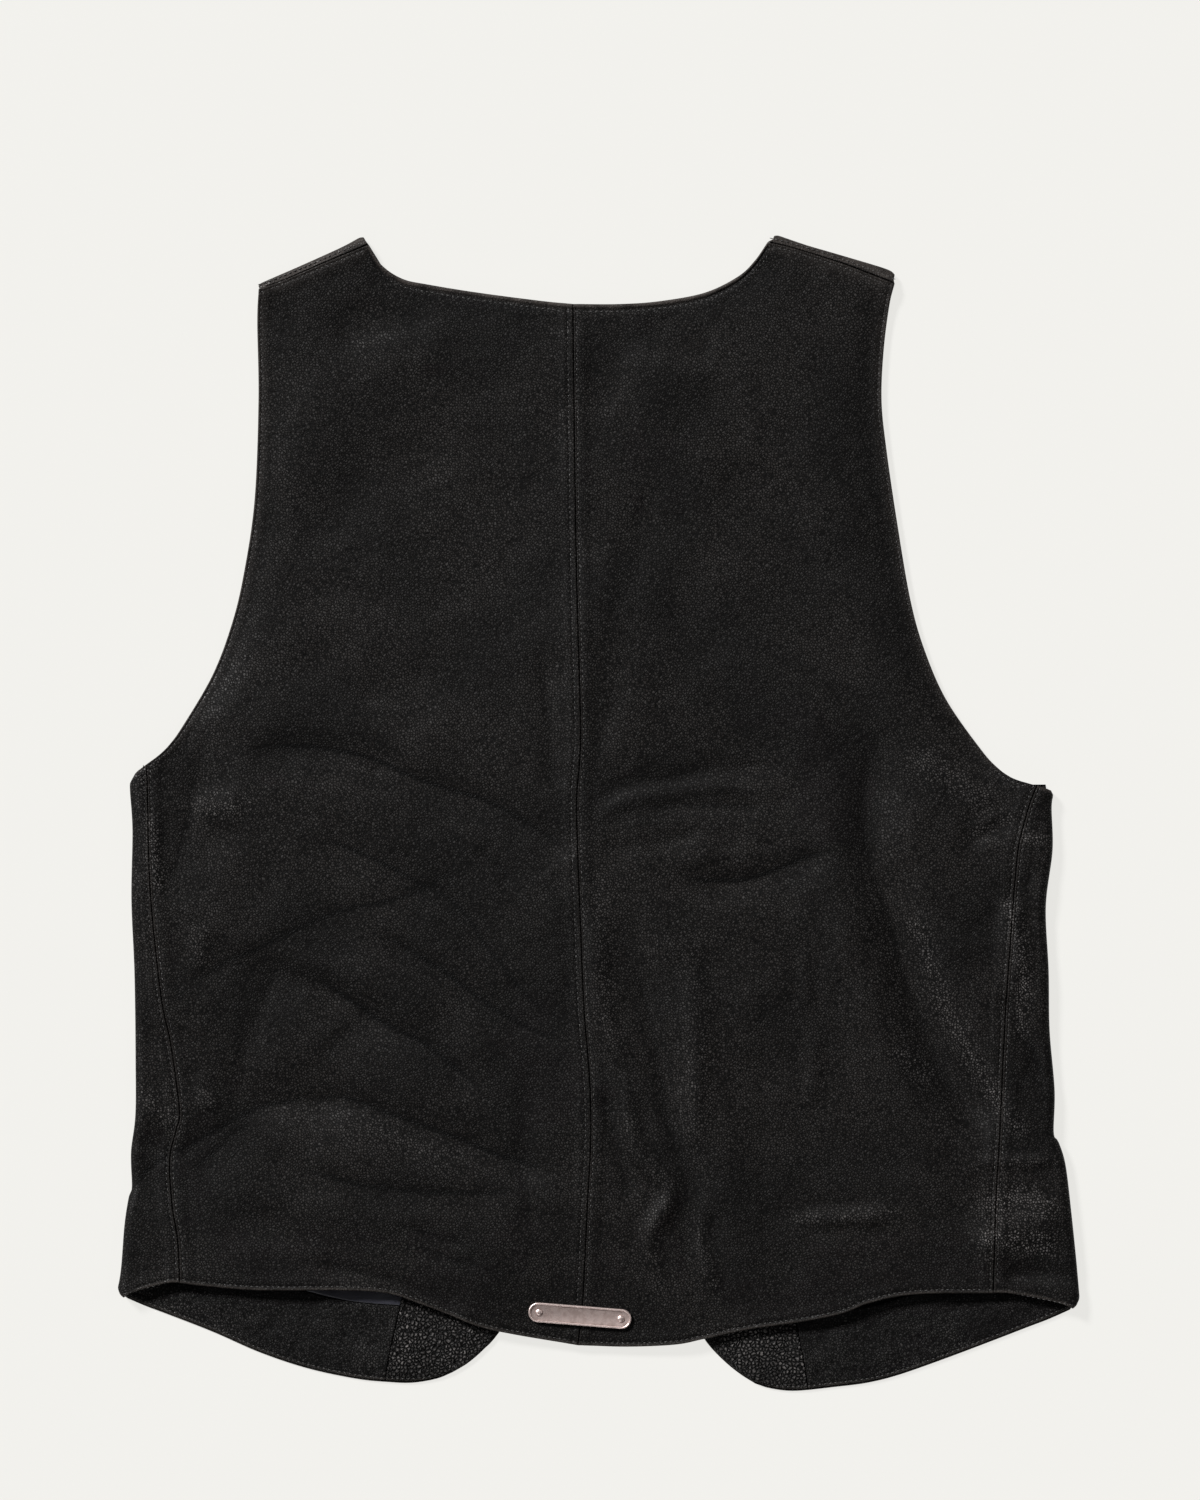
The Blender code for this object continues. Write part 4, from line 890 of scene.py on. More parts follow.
def front_half(name):
    """A front: its main part, the strip round the side and the strip over the shoulder, in one mesh."""
    cut, side = FRONTS[name], SIDES[name]
    out = side["out"]
    u = spaced(200.0)
    v = np.concatenate([PIT_SHARE * spaced(300.0, at_end=False),
                        PIT_SHARE + (1 - PIT_SHARE) * spaced(300.0, at_start=False, at_end=False)[1:]])
    # The underside is plain, so two columns do for every three
    u = np.interp(np.linspace(0, 1, 2 * len(u) // 3), np.linspace(0, 1, len(u)), u)
    shoulder = at_shares(smooth_curve(cut["shoulder_outline"]), u)
    run = np.gradient(shoulder, axis=0)
    upward = np.stack([run[:, 1], -run[:, 0]], axis=1) * out
    upward = upward / np.linalg.norm(upward, axis=1)[:, None]
    upward = upward * np.sign(upward[:, 1:])
    fold = shoulder - upward * (SHOULDER_REACH + LEATHER / 2)
    edge = cut["button_edge"]
    low_y, high_y = CENTRE_FRONT_Y
    front_edge = [(centre_front(low_y) + edge, low_y), (centre_front(20.0) + edge, 20.0)]
    top_edge = [(centre_front(20.0) + edge, 20.0), (centre_front(high_y) + edge, high_y)]
    bottom = at_shares(smooth_curve(cut["front_hem"]), u)
    inner = in_turn([cut["cutaway"], front_edge, top_edge, cut["neckline"]], INNER_BREAKS, v)
    at_side = v <= PIT_SHARE + 1e-9
    armhole_shares = (v[~at_side] - PIT_SHARE) / (1 - PIT_SHARE)
    outer = np.vstack([side_fold(name, v[at_side] / PIT_SHARE),
                       at_shares(smooth_curve(cut["front_armhole"]), armhole_shares)])
    bottom[0], bottom[-1] = outer[0], inner[0]
    fold[0], inner[-1] = outer[-1], fold[-1]
    plane = patch(bottom, fold, outer, inner, u, v)
    main = np.concatenate([plane, front_height(name, plane)[..., None]], axis=-1)
    from_outer, from_inner, from_hem, _ = edge_distances(plane)
    to_pit = np.abs(from_hem - from_hem[at_side.sum() - 1])
    armhole_away = np.where(at_side[:, None], np.hypot(from_outer, to_pit), from_outer)
    rows, columns = plane.shape[:2]
    index = np.arange(rows * columns).reshape(rows, columns)

    steps = spaced(30.0, at_start=False)
    seam = at_shares(smooth_curve(side["side_seam"]), v[at_side] / PIT_SHARE)
    from_low = main[at_side, 0, 1] - main[0, 0, 1]
    turn = (np.radians(HEM_TURN) * (1 - ramp(from_low / HEM_FADES[0]))
            - np.radians(PIT_TURN[name]) * (1 - ramp((from_low[-1] - from_low) / PIT_FADE)))
    outward = np.stack([out * np.cos(turn), np.sin(turn)], axis=1) * end_taper(from_low)[:, None]
    strip, ways, away = turned_strip(main[at_side, 0], seam, steps, FOLD_REACH, outward,
                                     lambda d: seam_relief(d, SEAM_ROW["side"]))
    bow = np.sin(np.pi * np.linspace(0, 1, len(steps)) ** 0.6)[1:, None]
    strip[-len(steps) + 1:, :, 1] += HEM_BOW * bow * (1 - ramp(from_low / HEM_FADES[1]))[None]
    strip_hem = np.broadcast_to(run_of(seam)[None], away.shape)
    strip_pit = strip_hem[:, -1:] - strip_hem
    on_top = np.linspace(0, 1, len(strip))[:, None] > 0.3
    strip[..., 2] += np.where(on_top, edge_relief(strip_hem) * ramp((35 - away) / 15), 0.0)
    side_index = rows * columns + np.arange(away.size).reshape(away.shape)

    seam = at_shares(smooth_curve(side["shoulder_seam"]), u)
    steps = spaced(9.0, at_start=False)[CAP_STEPS]
    over = upward * end_taper(run_of(shoulder))[:, None]
    cap, cap_ways, cap_away = turned_strip(main[-1], seam, steps, SHOULDER_REACH, over,
                                           lambda d: seam_relief(d, SEAM_ROW["shoulder"]))
    cap_ends = np.broadcast_to(run_of(seam)[None], cap_away.shape)
    cap_index = rows * columns + away.size + np.arange(cap_away.size).reshape(cap_away.shape)

    main_away = np.min([from_hem, from_inner, armhole_away], axis=0)
    side_away = np.min([SEAM_TIGHTER * away, strip_hem, strip_pit], axis=0)
    top_away = np.min([SEAM_TIGHTER * cap_away, cap_ends, cap_ends[:, -1:] - cap_ends], axis=0)
    _, strip_crease, strip_crease_shade = crease_marks(strip[..., :2])
    strip_crease_shade = strip_crease_shade * on_top
    # Brown edge colour, wear and painted sheen; the strip over the shoulder is lightened all over, partly as
    # painted light
    cap_edge = rubbed(np.minimum(cap_ends, top_away), 0.9, 1.5) * (cap_away > 1)
    wear_and_sheen = [mostly(rubbed(main_away, 0.6, 1.1)),
            mostly(seam_wear_and_sheen(away, 0.15), rubbed(strip_hem, 0.9, 1.2), rubbed(strip_pit, 0.7, 1.2)),
            mostly(0.7 * ramp(cap_away - 0.5), cap_edge)]
    middle = np.vstack([main.reshape(-1, 3), strip.reshape(-1, 3), cap.reshape(-1, 3)])
    down = np.tile([0.0, 0.0, -1.0], (rows * columns, 1))
    ways = np.vstack([down, ways.reshape(-1, 3), cap_ways.reshape(-1, 3)])
    faces = np.vstack([grid_faces(index),
                       grid_faces(np.vstack([side_index[::-1], index[at_side, 0][None]]).T),
                       grid_faces(np.vstack([index[-1][None], cap_index]))])
    away = np.concatenate([main_away.ravel(), side_away.ravel(), top_away.ravel()])
    fields = {"wear_and_sheen": np.concatenate([part.ravel() for part in wear_and_sheen])}
    on_strip = {"painted_glint": (0.0, painted_glint_of(strip[..., :2]) * on_top), "crease": (CREASE_REACH, strip_crease),
                "crease_depth": (0.0, strip_crease_shade)}
    for field, (elsewhere, values) in on_strip.items():
        main_part, cap_part = np.full(main_away.size, elsewhere), np.full(cap_away.size, elsewhere)
        fields[field] = np.concatenate([main_part, values.ravel(), cap_part])
    piece = shell(f"front_{name}_leather", middle, ways, faces, away, LEATHER, SHELL_LEATHER, fields)
    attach(piece, "root")
    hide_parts(f"front_{name}")
    return piece


FRONT_CUT = {"left": (0.290, 0.666, 0.1441), "right": (0.299, 0.672, 0.1455)}
for side_name, (cut_width, cut_length, cut_area) in FRONT_CUT.items():
    front = front_half(side_name)


# The facings: leather sewn inside the fronts, which shows in the mouth of the hem. Along the cut-away edge
# it is a shinier, coarser-grained hide; along the hem it is a narrow band of the shell's own leather.
FACING = 1.0
FACING_MID = LEATHER + 0.3 + FACING / 2
FACING_INSET = 1.3
FACING_ROW = 1.2
HEM_BAND = 43.0
FACING_SEED = 21
BAND_SEED = 22
FACINGS = {
    "left": {
        "seam": [(-123.5, -330.2), (-120, -311.5), (-116, -294), (-111, -270), (-104, -240)],
        "top": [(-80, -239), (-48, -238.5)],
        "top_y": -238.0,
    },
    "right": {
        "seam": [(121.8, -335), (118.9, -317.3), (114.8, -297.5), (110.5, -276), (105, -255)],
        "top": [(82, -254.5), (56, -254)],
        "top_y": -254.0,
    },
}
FACING_LEATHER = leather("facing_leather", {
    "dark": (0.0060, 0.0054, 0.0052, 1.0), "light": (0.0140, 0.0130, 0.0125, 1.0),
    "wear_and_sheen": (0.034, 0.030, 0.027, 1.0), "rough": 0.50, "polish": 1.0, "polish_rough": 0.40, "cells": 470.0,
    "grain_depth": 0.0012, "wrinkle_size": 0.008, "wrinkle_depth": 0.0003})
BAND_LEATHER = leather("hem_band_leather", {
    "dark": (0.0032, 0.0028, 0.0027, 1.0), "light": (0.0060, 0.0054, 0.0051, 1.0),
    "wear_and_sheen": (0.034, 0.030, 0.027, 1.0), "rough": 0.60, "polish": 0.4, "polish_rough": 0.47, "cells": 680.0,
    "grain_depth": 0.00025, "wrinkle_size": 0.012, "wrinkle_depth": 0.0002})


def facing_seam(name):
    """Seam between the two facings, from just inside the front hem upwards."""
    return smooth_curve(FACINGS[name]["seam"]) + np.array([0.0, FACING_INSET])


def facing_height(name, points, seed):
    """A facing lies on its front, and billows a little away from where it is sewn."""
    edge = smooth_curve(FRONTS[name]["front_hem"] + FRONTS[name]["cutaway"][1:], 6)
    away = np.abs(beside(points, edge)[0])
    billow = 0.6 + 0.45 * soft_noise(points, 16.0, seed) + 0.3 * soft_noise(points, 7.0, seed)
    billow = np.clip(ramp((away - 4) / 12) * billow, 0, None)
    return front_height(name, points) + FACING_MID - FRONT_MID + billow


def facing_relief(sewn, from_seam):
    """A dip under the stitches of the sewn edge, and a rise over the folded layers of the seam."""
    return 0.25 * np.exp(-(from_seam / 4.0) ** 2) - 0.25 * np.exp(-((sewn - FACING_ROW) / 0.8) ** 2)


def up_to_seam(name, low, high, u, v):
    """Rows of points straight from low to high, whose last part is drawn over to beside the facing seam."""
    seam = facing_seam(name)
    grid = low[None] + (high - low)[None] * v[:, None, None]
    beside_seam = np.interp(grid[:, -1, 1], seam[:, 1], seam[:, 0]) + SIDES[name]["out"] * 0.3
    grid[..., 0] += (beside_seam - grid[:, -1, 0])[:, None] * ramp((u[None] - 0.85) / 0.15)
    return grid


def flat_piece(name, grid, height, away, thickness, material, wear_and_sheen, painted_glint):
    """A wall on a grid of points in the plane, straight above and below its middle."""
    middle = np.concatenate([grid, height[..., None]], axis=-1).reshape(-1, 3)
    up = np.tile([0.0, 0.0, 1.0], (len(middle), 1))
    index = np.arange(len(middle)).reshape(height.shape)
    return shell(name, middle, up, grid_faces(index), away.ravel(), thickness, material,
                 {"wear_and_sheen": wear_and_sheen.ravel(), "painted_glint": painted_glint.ravel(), "crease": np.full(wear_and_sheen.size, CREASE_REACH),
                  "crease_depth": np.zeros(wear_and_sheen.size)})


def front_facing(name):
    """Facing of the cut-away edge: between the facing seam, the hem, the edge and where the back hides it."""
    out = SIDES[name]["out"]
    seam = facing_seam(name)
    hem = smooth_curve(FRONTS[name]["front_hem"]) + np.array([0.0, FACING_INSET])
    hem = np.vstack([seam[:1], hem[out * hem[:, 0] < out * seam[0, 0]]])
    edge = smooth_curve(FRONTS[name]["cutaway"]) + np.array([out * FACING_INSET, 0.0])
    edge = edge[edge[:, 1] < FACINGS[name]["top_y"]]
    top = smooth_curve(np.vstack([seam[-1:], FACINGS[name]["top"], edge[-1:]]))
    u, v = spaced(80.0), spaced(90.0)
    bottom, top = at_shares(hem, u), at_shares(top, u)
    outer, inner = at_shares(seam, v), at_shares(edge, v)
    bottom[-1] = inner[0]
    grid = patch(bottom, top, outer, inner, u, v)
    from_seam, from_edge, from_hem, from_top = edge_distances(grid)
    sewn = np.minimum(from_edge, from_hem)
    height = facing_height(name, grid, FACING_SEED) + facing_relief(sewn, from_seam)
    away = np.min([from_seam, from_edge, from_hem, from_top], axis=0)
    # Painted glints over most of the facing, clear of its sewn edges
    return flat_piece(f"front_facing_{name}_leather", grid, height, away, FACING, FACING_LEATHER,
                      mostly(rubbed(sewn, 0.8, 0.7)),
                      np.clip(0.80 + 0.42 * soft_noise(grid, 13.0, 31), 0, 1) * ramp((sewn - 3) / 6))


def hem_band(name):
    """Band inside the front hem: the hem's own line, from the side fold to the facing seam, carried upwards.
    Gives back its top row."""
    out = SIDES[name]["out"]
    seam = facing_seam(name)
    hem = smooth_curve(FRONTS[name]["front_hem"])
    hem = hem[out * hem[:, 0] > out * seam[0, 0] + 0.3] + np.array([0.0, FACING_INSET])
    u, v = spaced(160.0), spaced(HEM_BAND)
    low = at_shares(hem, u)
    low[0, 0] = side_fold(name, np.zeros(1))[0, 0] - out
    high = low + np.array([0.0, HEM_BAND])
    high[:, 0] -= out * 6.0 * (1 - u)
    grid = up_to_seam(name, low, high, u, v)
    from_side, from_seam, from_hem, from_top = edge_distances(grid)
    height = facing_height(name, grid, BAND_SEED) + facing_relief(from_hem, from_seam)
    away = np.min([from_side, from_seam, from_hem, from_top], axis=0)
    # Faint painted glints over the band
    flat_piece(f"hem_facing_{name}_leather", grid, height, away, FACING, BAND_LEATHER,
               mostly(rubbed(from_hem, 0.7, 0.8)),
               np.clip(0.06 + 0.10 * soft_noise(grid, 20.0, 32), 0, 1))
    return grid[-1]


FACING_CUT = {"left": (0.111, 0.091, 0.0062), "right": (0.091, 0.081, 0.0046)}
BAND_CUT = {"left": (0.158, 0.094, 0.0069), "right": (0.160, 0.090, 0.00695)}
band_tops = {}
for side_name in SIDES:
    front_facing(side_name)
    band_tops[side_name] = hem_band(side_name)
    for kind, cuts in (("front_facing", FACING_CUT), ("hem_facing", BAND_CUT)):
        facing = bpy.data.objects[f"{kind}_{side_name}_leather"]
        cut_width, cut_length, cut_area = cuts[side_name]
        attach(facing, "root")
        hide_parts(f"{kind}_{side_name}")


# The lining: dark navy satin sewn to the hem facing. Only a sliver shows above the left facing,
# so one piece is made there, as deep as can be seen from the hem.
LINING_DEPTH = 60.0


def satin():
    """Navy satin: fine crossed threads in the surface and in the sheen, over soft darker patches."""
    material, tree, shader, place = new_material("lining_satin")
    threads = []
    for turn in (0.0, 1.5708):
        turned = add(tree, "ShaderNodeMapping", {"Vector": place, "Rotation": (0.0, 0.0, turn)}).outputs[0]
        wave = {"Vector": turned, "Scale": 420.0, "Distortion": 0.6, "Detail": 1.0}
        threads.append(add(tree, "ShaderNodeTexWave", wave).outputs["Fac"])
    warp, weft = math(tree, "MULTIPLY", threads[0], 0.7), math(tree, "MULTIPLY", threads[1], 0.3)
    weave = math(tree, "ADD", warp, weft)
    patches = add(tree, "ShaderNodeTexNoise", {"Vector": place, "Scale": 30.0, "Detail": 2.0}).outputs["Fac"]
    shade = math(tree, "MULTIPLY", weave, spread(tree, patches, 0.3, 0.7, 0.6, 1.0))
    colour = blended(tree, shade, (0.008, 0.008, 0.013, 1.0), (0.0185, 0.0187, 0.028, 1.0))
    tree.links.new(colour, shader.inputs["Base Color"])
    tree.links.new(spread(tree, weave, 0.0, 1.0, 0.5, 0.36), shader.inputs["Roughness"])
    shader.inputs["Sheen Weight"].default_value = 0.15
    shader.inputs["Specular IOR Level"].default_value = 0.4
    bump = add(tree, "ShaderNodeBump", {"Strength": 0.6, "Distance": 0.00006, "Height": weave})
    tree.links.new(bump.outputs["Normal"], shader.inputs["Normal"])
    return material


def lining(name):
    """Lining above the hem facing, with soft wrinkles across it."""
    seam = facing_seam(name)
    low = smooth_curve(band_tops[name], 2) + np.array([0.0, 0.3])
    u, v = spaced(150.0), spaced(LINING_DEPTH - 13.0)
    low = at_shares(low, u)
    high = low + np.array([0.0, LINING_DEPTH])
    high[:, 1] = np.minimum(high[:, 1], seam[-1, 1])
    grid = up_to_seam(name, low, high, u, v)
    height = facing_height(name, grid, BAND_SEED) + 0.4 * np.abs(soft_noise(grid * [0.5, 1.6], 9.0, 23))
    away = np.min(edge_distances(grid), axis=0)
    plain = np.zeros(height.shape)
    return flat_piece(f"lining_{name}_satin", grid, height, away, FACING, satin(), plain, plain)


left_lining = lining("left")
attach(left_lining, "root")
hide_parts("lining_left")


# The closure: five round metal buttons set in the overlap of the fronts, under the vest as it lies.
# Each is a turned cap with a rolled rim round a shallow dish, in aged silver-toned metal.
BUTTON_Y = (-195.0, -127.5, -60.0, 7.5, 75.0)
BUTTON_RADIUS = 9.0
BUTTON_SIDES = 64
SHARP_ANGLE = 0.9


def aged_silver():
    """Silver-toned metal, tarnished brown-black in blotches and brightest where it is rubbed."""
    material, tree, shader, place = new_material("aged_silver")
    blotches = {"Vector": place, "Scale": 260.0, "Detail": 5.0, "Roughness": 0.6}
    blotches = add(tree, "ShaderNodeTexNoise", blotches).outputs["Fac"]
    narrow = add(tree, "ShaderNodeMapping", {"Vector": place, "Scale": (1.0, 9.0, 1.0)}).outputs[0]
    scratches = {"Vector": narrow, "Scale": 500.0, "Detail": 2.0}
    scratches = add(tree, "ShaderNodeTexNoise", scratches).outputs["Fac"]
    tarnish = add(tree, "ShaderNodeAttribute", attribute_name="tarnish").outputs["Fac"]
    dark = math(tree, "MULTIPLY", spread(tree, blotches, 0.38, 0.62, 0.45, 1.0), tarnish)
    colour = blended(tree, dark, (0.76, 0.62, 0.585, 1.0), (0.15, 0.105, 0.092, 1.0))
    tree.links.new(colour, shader.inputs["Base Color"])
    shader.inputs["Metallic"].default_value = 1.0
    dull = math(tree, "ADD", dark, math(tree, "MULTIPLY", scratches, 0.4))
    tree.links.new(spread(tree, dull, 0.1, 1.3, 0.42, 0.62), shader.inputs["Roughness"])
    bump = add(tree, "ShaderNodeBump", {"Strength": 0.5, "Distance": 0.00004, "Height": scratches})
    tree.links.new(bump.outputs["Normal"], shader.inputs["Normal"])
    return material


SILVER = aged_silver()


def ringed(name, rings, tarnish):
    """A closed piece from rings of points, a row each, with a flat face on the first and the last. Each ring
    has its own tarnish."""
    levels, sides = rings.shape[:2]
    index = np.arange(levels * sides).reshape(levels, sides)
    index = np.concatenate([index, index[:, :1]], axis=1)
    faces = grid_faces(index).tolist() + [index[0, -2::-1].tolist(), index[-1, :-1].tolist()]
    piece = new_piece(name, rings.reshape(-1, 3), faces, SILVER)
    piece.data.set_sharp_from_angle(angle=SHARP_ANGLE)
    mark(piece, "tarnish", np.repeat(tarnish, sides))
    return piece


def button_rings(centre):
    """Rings of a button from the table side up: dish, rolled rim, wall and flat back. A ring's points are its
    radius times the cosine and sine of each angle round it."""
    roll = np.linspace(np.pi, 0, 9)
    r, t = BUTTON_RADIUS, BUTTON_THICK
    rim = [(r - 1.4 + 1.4 * np.cos(a), 1.1 - 1.1 * np.sin(a)) for a in roll]
    profile = [(0.6, 0.55), (r - 3.4, 0.5)] + rim + [(r, t - 0.4), (r - 0.4, t), (1.0, t)]
    angle = np.linspace(0, 2 * np.pi, BUTTON_SIDES, endpoint=False)
    radius, height = np.array(profile).T[..., None]
    rings = [centre[0] + radius * np.cos(angle), centre[1] + radius * np.sin(angle), height + 0.0 * angle]
    dish = [1.0, 1.0] + [0.75 - 0.6 * np.sin(a) for a in roll] + [0.5, 0.8, 0.8]
    return np.stack(rings, axis=-1), dish


for number, button_y in enumerate(BUTTON_Y, 1):
    button = ringed(f"button_{number}_cap", *button_rings((float(centre_front(button_y)), button_y)))
    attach(button, "root")
    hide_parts(f"button_{number}")


# The sewing: black lockstitches, three to the centimetre, in a row each side of every seam and one along
# each turned edge. A stitch is a short bowed bar of thread whose ends go down into the leather.
STITCH_PITCH = 3.07
STITCH_LENGTH = 2.3
THREAD = 0.27
STITCH_BOW = 0.30
THREAD_RISE = 0.05
FACING_DIP = 0.15


def thread_material():
    """Black polished thread, a little dusty, with the twist of its strands."""
    material, tree, shader, place = new_material("black_thread")
    dust = add(tree, "ShaderNodeTexNoise", {"Vector": place, "Scale": 900.0, "Detail": 2.0}).outputs["Fac"]
    dusty = spread(tree, dust, 0.35, 0.7)
    colour = blended(tree, dusty, (0.0070, 0.0065, 0.0062, 1.0), (0.024, 0.022, 0.0205, 1.0))
    tree.links.new(colour, shader.inputs["Base Color"])
    tree.links.new(spread(tree, dust, 0.3, 0.7, 0.40, 0.62), shader.inputs["Roughness"])
    twist = add(tree, "ShaderNodeTexWave", {"Vector": place, "Scale": 900.0, "Distortion": 1.0})
    bump = add(tree, "ShaderNodeBump", {"Strength": 0.5, "Distance": 0.00005, "Height": twist.outputs["Fac"]})
    tree.links.new(bump.outputs["Normal"], shader.inputs["Normal"])
    return material


def moved_in(line, offset):
    """A line moved to its left by offset, along its own normals."""
    step = np.gradient(line, axis=0)
    normal = np.stack([-step[:, 1], step[:, 0]], axis=1)
    return line + offset * normal / np.linalg.norm(normal, axis=1)[:, None]


def stitch_row(line, offset, height_of):
    """Middles and directions of the stitches of one row; height_of gives the surface height at points."""
    row = moved_in(line, offset)
    length = run_of(row)[-1]
    count = int(length / STITCH_PITCH)
    middles = (np.arange(count) + 0.5) / count
    reach = 0.5 * STITCH_LENGTH / length
    start, end = (at_shares(row, middles + way * reach) for way in (-1, 1))
    start, end = (np.concatenate([p, height_of(p)[:, None]], axis=1) for p in (start, end))
    return (start + end) / 2, (end - start) / np.linalg.norm(end - start, axis=1)[:, None]


def stitches(name, rows, material):
    """All the stitches of some rows in one mesh: each is three rings of six points along x and a point at
    each end, turned to its row's direction, and bowed by the square of its share of the length."""
    middles, along = (np.concatenate(parts) for parts in zip(*rows))
    share = np.array([-0.75, 0.0, 0.75])
    radius = np.array([0.72, 1.0, 0.72]) * THREAD
    angle = np.linspace(0, 2 * np.pi, 6, endpoint=False)
    ring = np.stack([np.repeat(share, 6), np.outer(radius, np.cos(angle)).ravel(),
                     np.outer(radius, np.sin(angle)).ravel()], axis=1)
    form = np.vstack([[[-1.0, 0.0, 0.0]], ring, [[1.0, 0.0, 0.0]]])
    form[:, 2] -= STITCH_BOW * form[:, 0] ** 2
    form[:, 0] *= STITCH_LENGTH / 2
    index = 1 + np.arange(18).reshape(3, 6)
    index = np.concatenate([index, index[:, :1]], axis=1)
    quads = grid_faces(index)
    wrap = np.concatenate([quads[:, [0, 1, 2]], quads[:, [0, 2, 3]]])
    first = np.stack([np.zeros(6, int), index[0, 1:], index[0, :-1]], axis=1)
    last = np.stack([index[2, :-1], index[2, 1:], np.full(6, 19)], axis=1)
    faces = np.vstack([wrap, first, last])[:, ::-1]
    across = np.cross([0.0, 0.0, 1.0], along)
    across /= np.linalg.norm(across, axis=1)[:, None]
    up = np.cross(along, across)
    points = (middles[:, None] + form[None, :, :1] * along[:, None] + form[None, :, 1:2] * across[:, None]
              + form[None, :, 2:] * up[:, None])
    all_faces = faces[None] + 20 * np.arange(len(middles))[:, None, None]
    piece = new_piece(name, points.reshape(-1, 3), all_faces.reshape(-1, 3), material)
    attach(piece, "root")
    return piece


def on_back(relief):
    """Surface height of the upper layer where its relief is a known number."""
    return lambda points: top_height(points) + relief + LEATHER / 2 + THREAD_RISE


def on_facing(name):
    """Surface height of a facing, less the dip that its stitches lie in."""
    return lambda points: facing_height(name, points, FACING_SEED) + FACING / 2 - FACING_DIP


centre_line = np.vstack([smooth_curve(CENTRE_SEAM_LOW), smooth_curve(CENTRE_SEAM_HIGH)[1:]])
seam_rows = []
edge_rows = []
facing_rows = []
for offset in (SEAM_ROW["centre_left"], -SEAM_ROW["centre_right"]):
    seam_rows.append(stitch_row(centre_line, offset, on_back(seam_relief(abs(offset), abs(offset)))))
for side_name, side in SIDES.items():
    out = side["out"]
    for kind in ("side", "shoulder"):
        row = SEAM_ROW[kind]
        seam = smooth_curve(side[f"{kind}_seam"])
        seam_rows += [stitch_row(seam, offset, on_back(seam_relief(row, row))) for offset in (-row, row)]
    turn = np.vstack([side_fold(side_name, np.zeros(1)), side["side_seam"][:1]])
    for line, way in ((smooth_curve(side["back_hem"]), -out), (smooth_curve(side["armhole"]), out),
                      (at_shares(turn, np.linspace(0, 1, 9)), -out)):
        edge_rows.append(stitch_row(line, way * EDGE_ROW, on_back(edge_relief(EDGE_ROW))))
    sewn_edge = np.vstack([smooth_curve(FRONTS[side_name]["front_hem"]),
                           smooth_curve(FRONTS[side_name]["cutaway"])[1:]])
    sewn_edge = sewn_edge[sewn_edge[:, 1] < FACINGS[side_name]["top_y"]]
    facing_rows.append(stitch_row(sewn_edge, -out * (FACING_INSET + FACING_ROW), on_facing(side_name)))
edge_rows.append(stitch_row(smooth_curve(NECK), -NECK_ROW, on_back(neck_relief(NECK_ROW))))
thread = thread_material()
stitches("seam_stitches", seam_rows, thread)
stitches("edge_stitches", edge_rows, thread)
stitches("facing_stitches", facing_rows, thread)


# The hem plate: a plain oblong of aged silver-toned metal with a raised rim and two domed rivets,
# fixed through the hem over the centre seam.
PLATE_TURN_DEG = -4.6
PLATE_LENGTH = 60.0
PLATE_WIDTH = 11.5
PLATE_THICK = 1.5
PLATE_RIM = 1.3
PLATE_RIM_RISE = 0.5
RIVET_RADIUS = 2.1
RIVET_FROM_END = 6.2
plate_turn = np.radians(PLATE_TURN_DEG)
plate_spin = np.array([[np.cos(plate_turn), np.sin(plate_turn)], [-np.sin(plate_turn), np.cos(plate_turn)]])


def oblong(inset, count=24):
    """An oblong with round ends, moved in by inset: a half circle at each end."""
    radius = PLATE_WIDTH / 2 - inset
    straight = (PLATE_LENGTH - PLATE_WIDTH) / 2
    turns = np.linspace(-np.pi / 2, np.pi / 2, count)
    right = np.stack([straight + radius * np.cos(turns), radius * np.sin(turns)], axis=1)
    return np.vstack([right, -right])


foot = oblong(0.0) @ plate_spin + np.array(PLATE_AT)
lift = top_height(foot) + LEATHER / 2
plate_plane = np.linalg.lstsq(np.c_[foot, np.ones(len(foot))], lift, rcond=None)[0]
plate_clear = (lift - np.c_[foot, np.ones(len(foot))] @ plate_plane).max() + 0.25


def on_plate(flat, height):
    """Points of the plate's own plan, turned and lifted onto the sloping leather."""
    placed = flat @ plate_spin + np.array(PLATE_AT)
    base = placed[..., 0] * plate_plane[0] + placed[..., 1] * plate_plane[1] + plate_plane[2] + plate_clear
    return np.concatenate([placed, (base + height)[..., None]], axis=-1)


rim_round = np.linspace(0, np.pi, 9)
plate_profile = ([(0.15, 0.0), (0.0, 0.15), (0.0, PLATE_THICK)]
                 + [(PLATE_RIM * (0.5 - 0.5 * np.cos(a)), PLATE_THICK + PLATE_RIM_RISE * np.sin(a))
                    for a in rim_round[1:-1]]
                 + [(PLATE_RIM, PLATE_THICK - 0.25), (PLATE_RIM + 0.25, PLATE_THICK - 0.3)])
plate_tarnish = [0.9, 0.8, 0.55] + [0.45 - 0.35 * np.sin(a) for a in rim_round[1:-1]] + [1.0, 0.7]
plate_rings = np.stack([on_plate(oblong(inset), np.full(48, rise)) for inset, rise in plate_profile])
plate = ringed("hem_plate_silver", plate_rings, plate_tarnish)
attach(plate, "root")
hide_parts("hem_plate")
rivet_angle = np.linspace(0, 2 * np.pi, 32, endpoint=False)
rivet_circle = np.stack([np.cos(rivet_angle), np.sin(rivet_angle)], axis=1)
dome = np.linspace(0, np.pi / 2, 8)[:-1]
